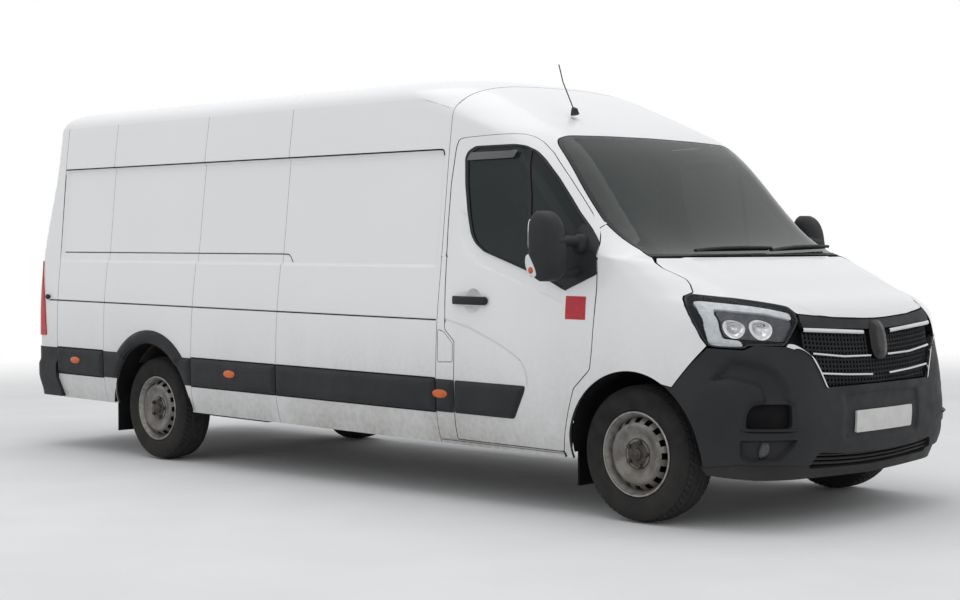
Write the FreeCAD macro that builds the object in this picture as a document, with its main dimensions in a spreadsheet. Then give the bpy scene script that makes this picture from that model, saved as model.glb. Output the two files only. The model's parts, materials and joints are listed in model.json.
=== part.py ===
"""Long panel van with a mid-height roof and single rear wheels, in millimetres.

Row frame: +X forward, +Y left, +Z up, origin on the ground under the middle of the van.
The body stands nose down by body_rake. Body pieces are modelled level in the body frame, whose
origin is the ground point under the front axle, and are then placed with that rake.
"""
import FreeCAD, Part
import functools
import math
import os
import re

V = FreeCAD.Vector
LEFT = 1
RIGHT = -1
SIDES = ((LEFT, "left"), (RIGHT, "right"))

doc = FreeCAD.newDocument("panel_van")
sheet = doc.addObject("Spreadsheet::Sheet", "sizes")

# alias, value
SIZES = (
    ("wheelbase", 4332),
    ("front_overhang", 869),
    ("rear_overhang", 1674),
    ("body_rake", 0.84),
    ("body_half", 1035),
    ("sill_height", 297),
    ("belt_height", 1368),
    ("split_height", 2096),
    ("gutter_height", 2290),
    ("roof_edge_height", 2372),
    ("roof_height", 2462),
    ("nose_height", 560),
    ("bumper_bottom", 230),
    ("pillar_x", 1450),
    ("panel_gap", 4),
    ("door_gap", 10),
    ("seat_gap", 0.3),
    ("skin", 18),
    ("door_thickness", 60),
    ("pillar_depth", 45),
    ("roof_thickness", 40),
    ("glass_thickness", 6),
    ("floor_height", 615),
    ("floor_thickness", 30),
    ("inner_half", 882),
    ("skirt_thickness", 60),
    ("door_bottom", 331),
    ("door_top", 2047),
    ("tyre_diameter", 712),
    ("tyre_width", 235),
    ("rim_diameter", 441),
    ("front_track", 1750),
    ("rear_track", 1730),
    ("front_arch_radius", 432),
    ("rear_arch_radius", 455),
    ("arch_inner", 555),
    ("liner_thickness", 6),
    ("kingpin_y", 800),
    ("moulding_bottom", 507),
    ("moulding_top", 667),
    ("moulding_proud", 14),
    ("rear_door_bottom", 700),
    ("rear_door_top", 2268),
    ("rear_door_thickness", 55),
    ("rear_door_half", 890),
    ("rear_door_taper", 50),
    ("rail_y", 420),
    ("rail_width", 70),
    ("rail_height", 120),
    ("axle_tube_radius", 48),
    ("spring_y", 510),
    ("spring_width", 70),
    ("bulkhead_thickness", 25),
    ("hole_radius", 6.5),
)
for row, (alias, value) in enumerate(SIZES, start=1):
    sheet.set(f"A{row}", str(value))
    sheet.setAlias(f"A{row}", alias)
doc.recompute()


def size(alias):
    """One driving dimension from the sheet."""
    return float(sheet.get(alias))


RAKE = math.radians(size("body_rake"))
FRONT_AXLE_X = (size("front_overhang") + size("wheelbase") + size("rear_overhang")) / 2 \
    - size("front_overhang")
REAR_AXLE_X = FRONT_AXLE_X - size("wheelbase")
TYRE_RADIUS = size("tyre_diameter") / 2
BODY = FreeCAD.Placement(V(FRONT_AXLE_X, 0, 0),
                         FreeCAD.Rotation(V(0, 1, 0), size("body_rake")))
ROW = FreeCAD.Placement()


def in_body(ahead, height):
    """Body-frame (x, z) of a point given ahead of the front axle and above the ground."""
    x = ahead * math.cos(RAKE) - height * math.sin(RAKE)
    z = ahead * math.sin(RAKE) + height * math.cos(RAKE)
    return x, z


FRONT_WHEEL = in_body(0, TYRE_RADIUS)
REAR_WHEEL = in_body(-size("wheelbase"), TYRE_RADIUS)
NOSE_X = in_body(size("front_overhang"), size("nose_height"))[0]
TAIL_X = in_body(-size("wheelbase") - size("rear_overhang"), 550)[0]
REAR_CORNER_X = TAIL_X + 213
BUMPER_WRAP = 250
SPARE_AHEAD = 520
PILLAR_X = -size("pillar_x")
HALF = size("body_half")
GAP = size("panel_gap")
SEAT = size("seat_gap")
BELT = size("belt_height")

sub_parts = []


def sub_part(label, shape, placement=BODY):
    """A named piece whose shape the code has made."""
    feature = doc.addObject("Part::Feature", label)
    feature.Label = label
    feature.Shape = shape
    feature.Placement = placement.multiply(shape.Placement)
    sub_parts.append(feature)
    return feature


def bound(expression):
    """The expression with each size name pointed at the sheet."""
    return re.sub(r"[a-z][a-z_]+", lambda name: "sizes." + name.group(0), expression)


def bind(feature, **expressions):
    """Ties properties of a feature to expressions on the sheet."""
    for prop, expression in expressions.items():
        feature.setExpression(prop, bound(str(expression)))


def place(feature, x, y, z, axis=None):
    """Places a primitive by expressions, its own +Z turned to the axis if one is given."""
    if axis:
        feature.Placement = FreeCAD.Placement(V(), FreeCAD.Rotation(V(0, 0, 1), V(*axis)))
    for letter, expression in (("x", x), ("y", y), ("z", z)):
        feature.setExpression(f"Placement.Base.{letter}", bound(str(expression)))
    return feature


def block(name, length, width, height, x, y, z):
    """A box with its low corner at x, y, z."""
    feature = doc.addObject("Part::Box", name)
    bind(feature, Length=length, Width=width, Height=height)
    return place(feature, x, y, z)


def rod(name, radius, length, x, y, z, axis):
    """A cylinder that runs from x, y, z along the axis."""
    feature = doc.addObject("Part::Cylinder", name)
    bind(feature, Radius=radius, Height=length)
    return place(feature, x, y, z, axis)


def joined(label, pieces, placement=BODY):
    """Pieces joined into one named sub-part."""
    if len(pieces) == 1:
        return compound(label, pieces, placement)
    feature = doc.addObject("Part::MultiFuse", label)
    feature.Shapes = pieces
    feature.Label = label
    feature.Placement = placement
    sub_parts.append(feature)
    return feature


def compound(label, pieces, placement=BODY):
    """Pieces that don't touch, kept apart in one named sub-part."""
    feature = doc.addObject("Part::Compound", label)
    feature.Links = pieces
    feature.Label = label
    feature.Placement = placement
    sub_parts.append(feature)
    return feature


def polygon(points):
    """A closed flat wire through points."""
    return Part.makePolygon(points + [points[0]])


def prism_xz(outline, y_low, y_high):
    """A side-view outline of (x, z) points, extruded across the van."""
    wire = polygon([V(x, y_low, z) for x, z in outline])
    return Part.Face(wire).extrude(V(0, y_high - y_low, 0))


def prism_yz(outline, x_low, x_high):
    """A front-view outline of (y, z) points, extruded along the van."""
    wire = polygon([V(x_low, y, z) for y, z in outline])
    return Part.Face(wire).extrude(V(x_high - x_low, 0, 0))


def grown(outline, margin):
    """A convex-ish (x, z) outline moved outwards by a margin all round."""
    wire = polygon([V(x, 0, z) for x, z in outline])
    ring = wire.makeOffset2D(margin, 2) if margin else wire
    return [(vertex.X, vertex.Z) for vertex in ring.OrderedVertexes]


def span(x_low, x_high, y_low, y_high, z_low, z_high):
    """A box given by its limits."""
    return Part.makeBox(x_high - x_low, y_high - y_low, z_high - z_low, V(x_low, y_low, z_low))


def flipped(shape):
    """The same shape on the other side of the van."""
    return shape.mirror(V(), V(0, 1, 0))


def on_side(shape, side):
    """A shape modelled on the left, for either side."""
    return shape if side == LEFT else flipped(shape)


def across(radius, x, z, y_low, y_high):
    """A cylinder across the van, on the left."""
    return Part.makeCylinder(radius, y_high - y_low, V(x, y_low, z), V(0, 1, 0))


# Plan sections of the nose. height, set back from the nose, tuck from the full half width,
# corner radius, front radius
NOSE = (
    (230, 91, 80, 430, 4500),
    (300, 56, 50, 480, 4500),
    (450, 9, 13, 520, 4500),
    (560, 0, 5, 540, 4500),
    (700, 16, 0, 550, 4500),
    (930, 46, 2, 600, 4500),
    (1050, 76, 8, 560, 4500),
    (1125, 156, 13, 470, 4500),
    (1190, 316, 19, 600, 2500),
    (1290, 536, 28, 300, 2800),
    (1368, 751, 34, 170, 4500),
)
# Plan sections of the glasshouse and the cab roof, in the same columns.
GLASSHOUSE = (
    (1300, 720, 28, 260, 6000),
    (1368, 796, 34, 260, 6000),
    (2040, 1549, 88, 330, 6000),
    (2177, 1793, 103, 450, 4000),
    (2290, 2041, 117, 520, 3000),
    (2372, 2241, 215, 450, 2500),
    (2430, 2621, 400, 300, 2000),
)
STACK_BACK = -2700


def plan_wire(height, front, half, corner, radius):
    """A plan outline: straight sides, round corners and a bowed front."""
    bow_x = front - radius
    corner_y = half - corner
    reach = radius - corner
    corner_x = bow_x + math.sqrt(reach ** 2 - corner_y ** 2)
    turn = math.atan2(corner_y, corner_x - bow_x)
    meet_x = bow_x + radius * math.cos(turn)
    meet_y = radius * math.sin(turn)
    middle = (turn + math.pi / 2) / 2
    arc_x = corner_x + corner * math.cos(middle)
    arc_y = corner_y + corner * math.sin(middle)
    back_right = V(STACK_BACK, -half, height)
    back_left = V(STACK_BACK, half, height)
    side_right = V(corner_x, -half, height)
    side_left = V(corner_x, half, height)
    front_right = V(meet_x, -meet_y, height)
    front_left = V(meet_x, meet_y, height)
    return Part.Wire([
        Part.LineSegment(back_right, side_right).toShape(),
        Part.Arc(side_right, V(arc_x, -arc_y, height), front_right).toShape(),
        Part.Arc(front_right, V(front, 0, height), front_left).toShape(),
        Part.Arc(front_left, V(arc_x, arc_y, height), side_left).toShape(),
        Part.LineSegment(side_left, back_left).toShape(),
        Part.LineSegment(back_left, back_right).toShape(),
    ])


@functools.cache
def stack(table, inset=0.0, slope=1.0):
    """A solid ruled through the plan sections, drawn in by an inset."""
    wires = []
    lowered = inset if inset > 0 else 0
    for height, set_back, tuck, corner, radius in table:
        level = height - lowered if height > 1050 and table is NOSE else height
        if height == table[0][0]:
            level -= 2 * abs(inset)
        if height > 2100:
            level -= lowered
        wires.append(plan_wire(level, NOSE_X - set_back - inset * slope, HALF - tuck - inset,
                               corner - inset, radius))
    return Part.makeLoft(wires, True, True)


@functools.cache
def nose_shell(thickness):
    """The nose's wall, from its surface to a depth."""
    return stack(NOSE).cut(stack(NOSE, thickness))


@functools.cache
def glass_shell(thickness, proud=0.0):
    """The glasshouse's wall, from its surface to a depth."""
    return stack(GLASSHOUSE, -proud, 1.35).cut(stack(GLASSHOUSE, thickness, 1.35))


@functools.cache
def cab_solid(inset=0.0):
    """Nose and glasshouse as one solid, drawn in by an inset."""
    lower = stack(NOSE, inset)
    upper = stack(GLASSHOUSE, inset, 1.35)
    return lower.fuse(upper)


def side_wire(x, inset=0.0, bottom=None):
    """The load body's outer section at x: tucked sill, leaning side, roof edge and crown."""
    low = size("sill_height") if bottom is None else bottom
    gutter = size("gutter_height")
    edge = size("roof_edge_height") - inset
    crown = size("roof_height") - inset
    half = HALF - inset
    points = ((half - 50, low), (half - 14, 450), (half, 690), (half - 30, BELT - 38),
              (half - 117, gutter), (half - 150, (gutter + edge) / 2 + 8), (half - 215, edge))
    left = [V(x, y, z) for y, z in points]
    right = [V(x, -y, z) for y, z in points]
    return Part.Wire([
        Part.LineSegment(right[0], left[0]).toShape(),
        Part.Arc(left[0], left[1], left[2]).toShape(),
        Part.Arc(left[2], left[3], left[4]).toShape(),
        Part.Arc(left[4], left[5], left[6]).toShape(),
        Part.Arc(left[6], V(x, 0, crown), right[6]).toShape(),
        Part.Arc(right[6], right[5], right[4]).toShape(),
        Part.Arc(right[4], right[3], right[2]).toShape(),
        Part.Arc(right[2], right[1], right[0]).toShape(),
    ])


def load_body(x_low, x_high, inset=0.0, bottom=None):
    """The load body's outer form between two places along the van."""
    return Part.Face(side_wire(x_low, inset, bottom)).extrude(V(x_high - x_low, 0, 0))


@functools.cache
def load_cavity(x_low, x_high):
    """The space between the inner walls, above the floor's top."""
    half = size("inner_half")
    low = size("floor_height") - size("floor_thickness")
    gutter = size("gutter_height")
    edge = size("roof_edge_height") - size("roof_thickness")
    crown = size("roof_height") - size("roof_thickness")
    side = ((half, low), (half, BELT), (half - 27, gutter - 90), (half - 92, edge))
    left = [V(x_low, y, z) for y, z in side]
    right = [V(x_low, -y, z) for y, z in side]
    edges = [Part.LineSegment(right[0], left[0]).toShape()]
    edges += [Part.LineSegment(left[i], left[i + 1]).toShape() for i in range(3)]
    edges.append(Part.Arc(left[3], V(x_low, 0, crown), right[3]).toShape())
    edges += [Part.LineSegment(right[i + 1], right[i]).toShape() for i in (2, 1, 0)]
    return Part.Face(Part.Wire(edges)).extrude(V(x_high - x_low, 0, 0))


# Rear face in side view: set forward from the rear corner, height
REAR_FACE = ((0, 560), (0, 1270), (130, 2031), (145, 2420))


def rear_slab(depth_low, depth_high, z_low, z_high):
    """A slab across the rear face, between two depths forward of it."""
    line = [(REAR_CORNER_X + ahead, height) for ahead, height in REAR_FACE]
    outer = [(x + depth_low, z) for x, z in line]
    inner = [(x + depth_high, z) for x, z in reversed(line)]
    slab = prism_xz(outer + inner, -HALF - 200, HALF + 200)
    return slab.common(span(-9000, 0, -HALF - 200, HALF + 200, z_low, z_high))


def rear_door_edge(grow):
    """Front-view outline of both rear doors together, grown by a gap."""
    half = size("rear_door_half") + grow
    low = size("rear_door_bottom") - grow
    high = size("rear_door_top") + grow
    top_half = half - size("rear_door_taper")
    return [(-half, low), (half, low), (top_half, high), (-top_half, high)]


# Side-view outlines on the left and right alike: x ahead of the front axle, height
DOOR = [(-1335, 2029), (-1290, 2044), (-1116, 2047), (-883, 2045), (-787, 2029), (-690, 1987),
        (-632, 1951), (-562, 1881), (-396, 1697), (-233, 1515), (-242, 1262), (-258, 1094),
        (-264, 896), (-278, 783), (-390, 678), (-430, 561), (-490, 331), (-1299, 331),
        (-1294, 889), (-1373, 954), (-1371, 1289), (-1347, 1886)]
WINDOW = [(-1268, 1955), (-1219, 1981), (-896, 1983), (-781, 1964), (-684, 1914), (-585, 1822),
          (-350, 1565), (-325, 1500), (-325, 1250), (-475, 1236), (-645, 1261), (-850, 1310),
          (-1042, 1391), (-1144, 1438), (-1211, 1523), (-1246, 1700), (-1279, 1912)]
SAIL = [(-400, 1618), (-262, 1462), (-262, 1275), (-473, 1206), (-417, 1327)]
FLAP = [(-1431, 949), (-1384, 938), (-1312, 876), (-1312, 772), (-1431, 766)]
# Upper edges of the bumper and of the headlamp's rear end.
LAMP_REAR = ((456, 937), (288, 1174))
BUMPER_TOP = ((269, 718), (456, 937))
GRILLE_FRAME = [(-600, 1052), (-600, 1000), (-410, 690), (410, 690), (600, 1000), (600, 1052)]


def wheel_void(radius):
    """The two front wheel arches' cylinders."""
    left = across(radius, FRONT_WHEEL[0], FRONT_WHEEL[1], size("arch_inner"), HALF + 100)
    return left.fuse(flipped(left))


def rear_wheel_void(radius, inner):
    """The two rear wheel arches' cylinders, from an inner plane outwards."""
    left = across(radius, REAR_WHEEL[0], REAR_WHEEL[1], inner, HALF + 100)
    return left.fuse(flipped(left))


def make_side_panels():
    """The load body's side walls, split at the pressings' joints, and the sliding door."""
    front = PILLAR_X - GAP
    back = REAR_CORNER_X - 40
    wall = load_body(back, front).cut(load_cavity(back - 10, front + 10))
    skirt = HALF - size("skirt_thickness")
    under = size("floor_height") - size("floor_thickness")
    wall = wall.cut(span(back - 10, front + 10, -skirt, skirt, 0, under))
    wall = wall.cut(rear_wheel_void(size("rear_arch_radius"), 600))
    line = [(REAR_CORNER_X + ahead, height) for ahead, height in REAR_FACE]
    keep = prism_xz([(0, 0), (REAR_CORNER_X, 0)] + line + [(0, 2420)], -1200, 1200)
    wall = wall.common(keep)
    doorway = prism_yz(rear_door_edge(size("door_gap")), back - 100, back + 400)
    wall = wall.cut(doorway.common(rear_slab(-100, size("rear_door_thickness") + SEAT, 0, 3000)))
    wall = wall.common(span(-9000, 0, -1200, 1200, 0, size("gutter_height")))
    corner = REAR_CORNER_X + BUMPER_WRAP + GAP
    wall = wall.cut(span(-9000, corner, -1200, 1200, 0, size("moulding_top") + GAP))
    # Joints between the pressings, behind the pillar: front, rear
    bays = ((front, -2924), (-2924 - GAP, -3844), (-3844 - GAP, -4910), (-4910 - GAP, -7000))
    for side, name in SIDES:
        low, high = (0, 1200) if side == LEFT else (-1200, 0)
        solids = [wall.common(span(end, start, low, high, 0, 3000)) for start, end in bays]
        if side == LEFT:
            sub_part("sliding_door", solids.pop(0))
        sub_part(f"side_panels_{name}", Part.makeCompound(solids))


def roof_wire(x, crown, inset):
    """The load body's roof section at x, from gutter to gutter."""
    low = size("gutter_height") + SEAT - (20 if inset else 0)
    gutter = size("gutter_height") + SEAT
    edge = size("roof_edge_height") - inset
    half = HALF - inset
    points = ((half - 117, low), (half - 117, gutter + 1),
              (half - 150, (gutter + edge) / 2 + 8), (half - 215, edge))
    left = [V(x, y, z) for y, z in points]
    right = [V(x, -y, z) for y, z in points]
    return Part.Wire([
        Part.LineSegment(right[0], left[0]).toShape(),
        Part.LineSegment(left[0], left[1]).toShape(),
        Part.Arc(left[1], left[2], left[3]).toShape(),
        Part.Arc(left[3], V(x, 0, crown - inset), right[3]).toShape(),
        Part.Arc(right[3], right[2], right[1]).toShape(),
        Part.LineSegment(right[1], right[0]).toShape(),
    ])


def make_cargo_roof():
    """The load body's roof, whose crown rises behind the cab."""
    crown = size("roof_height")
    back = REAR_CORNER_X + 150
    # place along the van, crown height
    stations = ((PILLAR_X - GAP, crown - 74), (-1990, crown - 14), (-2640, crown), (back, crown))
    thickness = size("roof_thickness")
    outer = Part.makeLoft([roof_wire(x, z, 0) for x, z in stations], True, True)
    inner = Part.makeLoft([roof_wire(x + 10 if x > -1500 else x, z, thickness)
                           for x, z in stations[:3]] + [roof_wire(back + 40, crown, thickness)],
                          True, True)
    header = rear_slab(5, 60, size("rear_door_top") + size("door_gap"), size("gutter_height"))
    header = header.common(span(-9000, 0, -800, 800, 0, 3000))
    sub_part("cargo_roof", outer.cut(inner).fuse(header))


def make_cab():
    """Cab roof, cab frame, windscreen, doors with their glass, and the fuel flap."""
    split = size("split_height")
    glass_outline = [(-845, BELT + 10), (845, BELT + 10), (785, 2030), (-785, 2030)]
    glasshouse = stack(GLASSHOUSE)
    roof = glass_shell(size("roof_thickness"))
    roof = roof.common(span(PILLAR_X, 500, -1200, 1200, split + SEAT, 3000))
    sub_part("cab_roof", roof)

    pane = glass_shell(size("glass_thickness"))
    pane = pane.common(prism_yz(glass_outline, -1200, 800)).common(
        span(-900, 500, -1200, 1200, 0, 3000))
    sub_part("windscreen", pane)

    rebate = [(y + math.copysign(2 * SEAT, y), z + math.copysign(SEAT, z - 1700))
              for y, z in glass_outline]
    upper = glass_shell(size("pillar_depth"))
    upper = upper.common(span(PILLAR_X, 500, -1200, 1200, BELT + 10, split))
    frame_hole = prism_yz(rebate, -900, 500).common(
        prism_xz([(-900, 2100), (-640, 2100), (300, 1200), (-200, 1200)], -1200, 1200))
    doorway = prism_xz(grown(DOOR, size("door_gap")), 840, 1200)
    stop = cab_solid(size("door_thickness") + SEAT).common(
        span(PILLAR_X, -1300, 840, 1200, 450, 1900))
    doorway = doorway.cut(stop)
    doorway = doorway.fuse(flipped(doorway))
    lower = cab_solid().cut(cab_solid(80))
    lower = lower.common(span(PILLAR_X, -1250, -1200, 1200, 300, BELT + 10.5))
    floor = size("floor_height")
    under = floor - size("floor_thickness") + SEAT
    inner = size("arch_inner") - 15
    arch_top = FRONT_WHEEL[1] + size("front_arch_radius") + size("liner_thickness") + 8
    pieces = [lower]
    for low, high in ((780, 900), (-900, -780)):
        pieces.append(span(PILLAR_X, -500, low, high, 310, under + 5))
    pieces += [
        span(PILLAR_X, -450, -900, 900, under, floor),
        span(-460, -30, -inner, inner, under, floor),
        span(-60, -30, -inner, inner, floor - 10, BELT - 30),
        span(-60, -30, -860, 860, arch_top, BELT - 30),
        span(-60, -30, 800, 900, BELT - 60, BELT - size("skin") - SEAT),
        span(-60, -30, -900, -800, BELT - 60, BELT - size("skin") - SEAT),
        span(-450, -30, -860, 860, arch_top, arch_top + 20).cut(
            span(-500, 0, -inner + 20, inner - 20, 0, 2000)),
        span(-460, -440, -860, 860, floor - 10, arch_top + 20).cut(
            span(-500, 0, -inner + 20, inner - 20, 0, 2000)),
        span(-230, -60, 800, 830, arch_top + 20, BELT - 30),
        span(-230, -60, -830, -800, arch_top + 20, BELT - 30),
    ]
    frame = upper
    for piece in pieces:
        frame = frame.fuse(piece)
    hinge_block = cab_solid(12 + SEAT).common(span(-1431, -1405, -1200, -900, 830, 890))
    flap_box = prism_xz(grown(FLAP, 7), -1200, -HALF + 62).cut(hinge_block)
    frame = frame.cut(doorway).cut(flap_box)
    # Posts that carry the pillars' feet on the bulkhead's ends.
    for low, high in ((780, 858), (-858, -780)):
        frame = frame.fuse(span(-60, -30, low, high, BELT - 60, BELT + 60).common(glasshouse))
    frame = frame.cut(frame_hole)
    sub_part("cab_frame", frame)

    outline = prism_xz(DOOR, 855, 1200)
    leaf = cab_solid().cut(cab_solid(size("door_thickness"))).common(outline)
    leaf = leaf.cut(prism_xz(WINDOW, 800, 1200))
    glass = cab_solid(22).cut(cab_solid(22 + size("glass_thickness")))
    glass = glass.common(prism_xz(grown(WINDOW, -SEAT), 855, 1200))
    sail = stack(GLASSHOUSE, -14, 1.35).fuse(stack(NOSE, -14))
    sail = sail.cut(stack(GLASSHOUSE, -SEAT, 1.35).fuse(stack(NOSE, -SEAT)))
    sail = sail.common(prism_xz(SAIL, 600, 1200))
    for side, name in SIDES:
        sub_part(f"front_door_{name}", on_side(leaf, side))
        sub_part(f"door_glass_{name}", on_side(glass, side))
        sub_part(f"mirror_{name}", on_side(make_mirror(sail), side))

    flap = cab_solid().cut(cab_solid(12)).common(prism_xz(FLAP, -1200, -700))
    sub_part("fuel_flap", flap)


def make_mirror(sail):
    """A door mirror on the left: sail plate, two arms and the tall head."""
    head = prism_yz([(1135, 1262), (1268, 1280), (1285, 1330), (1280, 1560), (1255, 1606),
                     (1150, 1612), (1128, 1570)], -540, -420)
    head = head.fuse(prism_yz([(1150, 1290), (1255, 1300), (1262, 1560), (1160, 1580)],
                              -421, -360))
    arms = Part.makeBox(70, 190, 34, V(-440, 955, 1330))
    arms = arms.fuse(Part.makeBox(70, 205, 34, V(-450, 940, 1450)))
    arms = arms.cut(stack(GLASSHOUSE, -SEAT, 1.35).fuse(stack(NOSE, -SEAT)))
    return head.fuse(arms).fuse(sail)


def lamp_zone(grow):
    """The headlamp's region on the left: front-view outline and a leaning rear end."""
    inner = 600 + 2 * SEAT - grow
    front_view = [(inner, 1130 + grow), (inner, 1044 - grow), (694, 931 - grow),
                  (1150, 931 - grow), (1150, 1203 + grow)]
    (low_x, low_z), (high_x, high_z) = LAMP_REAR
    behind = [(low_x - grow, low_z - 60), (low_x - grow, low_z), (high_x - grow, high_z),
              (high_x - grow - 30, high_z + 60), (1500, high_z + 60), (1500, low_z - 60)]
    return prism_yz(front_view, 0, 1200).common(prism_xz(behind, 0, 1200))


def make_nose():
    """Wings, bonnet, front bumper, grille and headlamps."""
    arch = wheel_void(size("front_arch_radius"))
    lamps = lamp_zone(SEAT)
    lamps = lamps.fuse(flipped(lamps))
    bonnet_gap = lamp_zone(6)
    bonnet_gap = bonnet_gap.fuse(flipped(bonnet_gap))
    screen = stack(GLASSHOUSE, -30, 1.0)
    (arch_x, arch_z), (lamp_x, lamp_z) = BUMPER_TOP
    bonnet_side = 850
    bonnet_rear_side = 800
    below_bumper = [(-9000, 0), (arch_x, 0), (arch_x, arch_z), (lamp_x, lamp_z),
                    (lamp_x, 1060), (2000, 1060), (2000, 3000), (-9000, 3000)]
    bonnet_plan = polygon([V(-100, -bonnet_rear_side, 0), V(300, -bonnet_side, 0),
                           V(1200, -bonnet_side, 0), V(1200, bonnet_side, 0),
                           V(300, bonnet_side, 0), V(-100, bonnet_rear_side, 0)])
    bonnet_prism = Part.Face(bonnet_plan).extrude(V(0, 0, 3000))
    side = bonnet_side + 9
    rear_side = bonnet_rear_side + 9
    wing_plan = polygon([V(-400, -rear_side, 0), V(-100, -rear_side, 0), V(300, -side, 0),
                         V(1200, -side, 0), V(1200, side, 0), V(300, side, 0),
                         V(-100, rear_side, 0), V(-400, rear_side, 0)])
    wing_prism = Part.Face(wing_plan).extrude(V(0, 0, 3000))

    shell = nose_shell(size("skin"))
    wing = shell.cut(arch).common(prism_xz(below_bumper, -1200, 1200))
    wing = wing.cut(prism_xz(grown(DOOR, size("door_gap")), -1200, 1200))
    wing = wing.cut(wing_prism).cut(lamps)
    post_slot = span(-75, -15, 770, 872, BELT - 28, BELT + 32)
    wing = wing.cut(post_slot).cut(flipped(post_slot))
    wing = wing.common(prism_xz([(-484, 300), (-435, 560), (-395, 690), (-280, 800),
                                 (-240, 1100), (-222, 1262), (-222, BELT), (900, BELT),
                                 (900, 300)], -1200, 1200))
    for side, name in SIDES:
        low, high = (0, 1200) if side == LEFT else (-1200, 0)
        sub_part(f"wing_{name}", wing.common(span(-900, 900, low, high, 0, 3000)))

    outer = stack(NOSE)
    lowered = outer.copy()
    lowered.translate(V(-18, 0, -26))
    bonnet = outer.cut(lowered).common(bonnet_prism).cut(screen).cut(bonnet_gap)
    bonnet = bonnet.common(span(-100, 1200, -1200, 1200, 1062, 3000))
    sub_part("bonnet", bonnet)

    face = nose_shell(28)
    grille_hole = prism_yz([(y + math.copysign(SEAT, y), z + math.copysign(SEAT, z - 1001))
                            for y, z in GRILLE_FRAME], 300, 1200)
    top = [(arch_x + GAP, 0), (arch_x + GAP, arch_z - GAP), (lamp_x + GAP, lamp_z - GAP),
           (lamp_x + GAP, 1052), (2000, 1052), (2000, 0)]
    bumper = face.common(prism_xz(top, -1200, 1200)).cut(arch).cut(lamps).cut(grille_hole)
    low_grille = prism_yz([(-533, 330), (533, 330), (500, 410), (-500, 410)], 300, 1200)
    slats = face.common(low_grille)
    for height in (345, 375):
        slats = slats.cut(span(300, 1200, -500, 500, height, height + 18))
    bumper = bumper.cut(low_grille).fuse(slats)
    # Bosses that carry the bumper on the rails' ends.
    boss = span(NOSE_X - 180 + SEAT, NOSE_X, 390, 450, 480, 570).common(stack(NOSE, 10))
    bumper = bumper.fuse(boss).fuse(flipped(boss))
    sub_part("front_bumper", bumper)

    mesh = stack(NOSE, 10).cut(stack(NOSE, 34)).common(prism_yz(GRILLE_FRAME, 300, 1200))
    slots = []
    for row in range(6):
        low = 712 + row * 46
        reach = 380 + row * 28
        count = 12
        step = 2 * reach / count
        for column in range(count):
            left_edge = -reach + column * step
            slots.append(span(300, 1200, left_edge + 6, left_edge + step - 6, low, low + 34))
    mesh = mesh.cut(Part.makeCompound(slots))
    for height in (700, 845, 995):
        bar = stack(NOSE, -4).cut(stack(NOSE, 12)).common(prism_yz(GRILLE_FRAME, 300, 1200))
        mesh = mesh.fuse(bar.common(span(300, 1200, -1200, 1200, height, height + 16)))
    # Rubber buffers under the bonnet's front edge.
    for low in (-315, 285):
        mesh = mesh.fuse(span(NOSE_X - 116, NOSE_X - 88, low, low + 30, 1030, 1062 - SEAT))
    sub_part("grille", mesh)

    lamp = stack(NOSE, 2).cut(stack(NOSE, 90)).common(lamp_zone(0))
    sub_part("headlamps", Part.makeCompound([lamp, flipped(lamp)]))

    liner = across(size("front_arch_radius") + size("liner_thickness"), *FRONT_WHEEL,
                   size("arch_inner") - size("liner_thickness"), HALF - 40)
    liner = liner.cut(across(size("front_arch_radius"), *FRONT_WHEEL, size("arch_inner"), HALF))
    liner = liner.common(span(-900, 900, 0, 1200, 330, 3000))
    liner = liner.cut(span(-900, 900, 0, size("arch_inner") + 60, 330, 560))
    inner_nose = stack(NOSE, 28 + SEAT)
    liner = liner.common(inner_nose)
    liner = liner.cut(prism_xz(grown(DOOR, size("door_gap")), 900, 1200))
    flap = span(-449, -437, 800, 930, 145, 420)
    skirt = HALF - size("skirt_thickness") - SEAT
    under = size("floor_height") - size("floor_thickness")
    rear_flap = span(REAR_WHEEL[0] - 480, REAR_WHEEL[0] - 468, 740, skirt, 100, under)
    guards = [liner.fuse(flap), rear_flap]
    guards += [flipped(piece) for piece in guards]
    sub_part("arch_liners", Part.makeCompound(guards))


def make_floor():
    """Load floor with its wheelhouses, and the bulkhead behind the seats."""
    top = size("floor_height")
    half = size("inner_half") - SEAT
    back = REAR_CORNER_X + 62
    start = PILLAR_X - GAP - 10 - size("bulkhead_thickness")
    under = top - size("floor_thickness") + SEAT
    plate = span(back, start - SEAT, -half, half, under, top)
    radius = size("rear_arch_radius") + 12
    x, z = REAR_WHEEL
    house = across(radius, x, z, 678, half).cut(across(radius - 12, x, z, 690, half + 10))
    house = house.common(span(x - 600, x + 600, 0, 1200, top - size("floor_thickness") + SEAT,
                              3000))
    void = across(radius - 12, x, z, 690, HALF)
    plate = plate.cut(void).cut(flipped(void)).fuse(house).fuse(flipped(house))
    sub_part("load_floor", plate)

    cavity = load_cavity(start, start + size("bulkhead_thickness"))
    panel = cavity.common(span(-2000, 0, -half, half, under, size("gutter_height") - 20))
    sub_part("bulkhead", panel)


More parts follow.
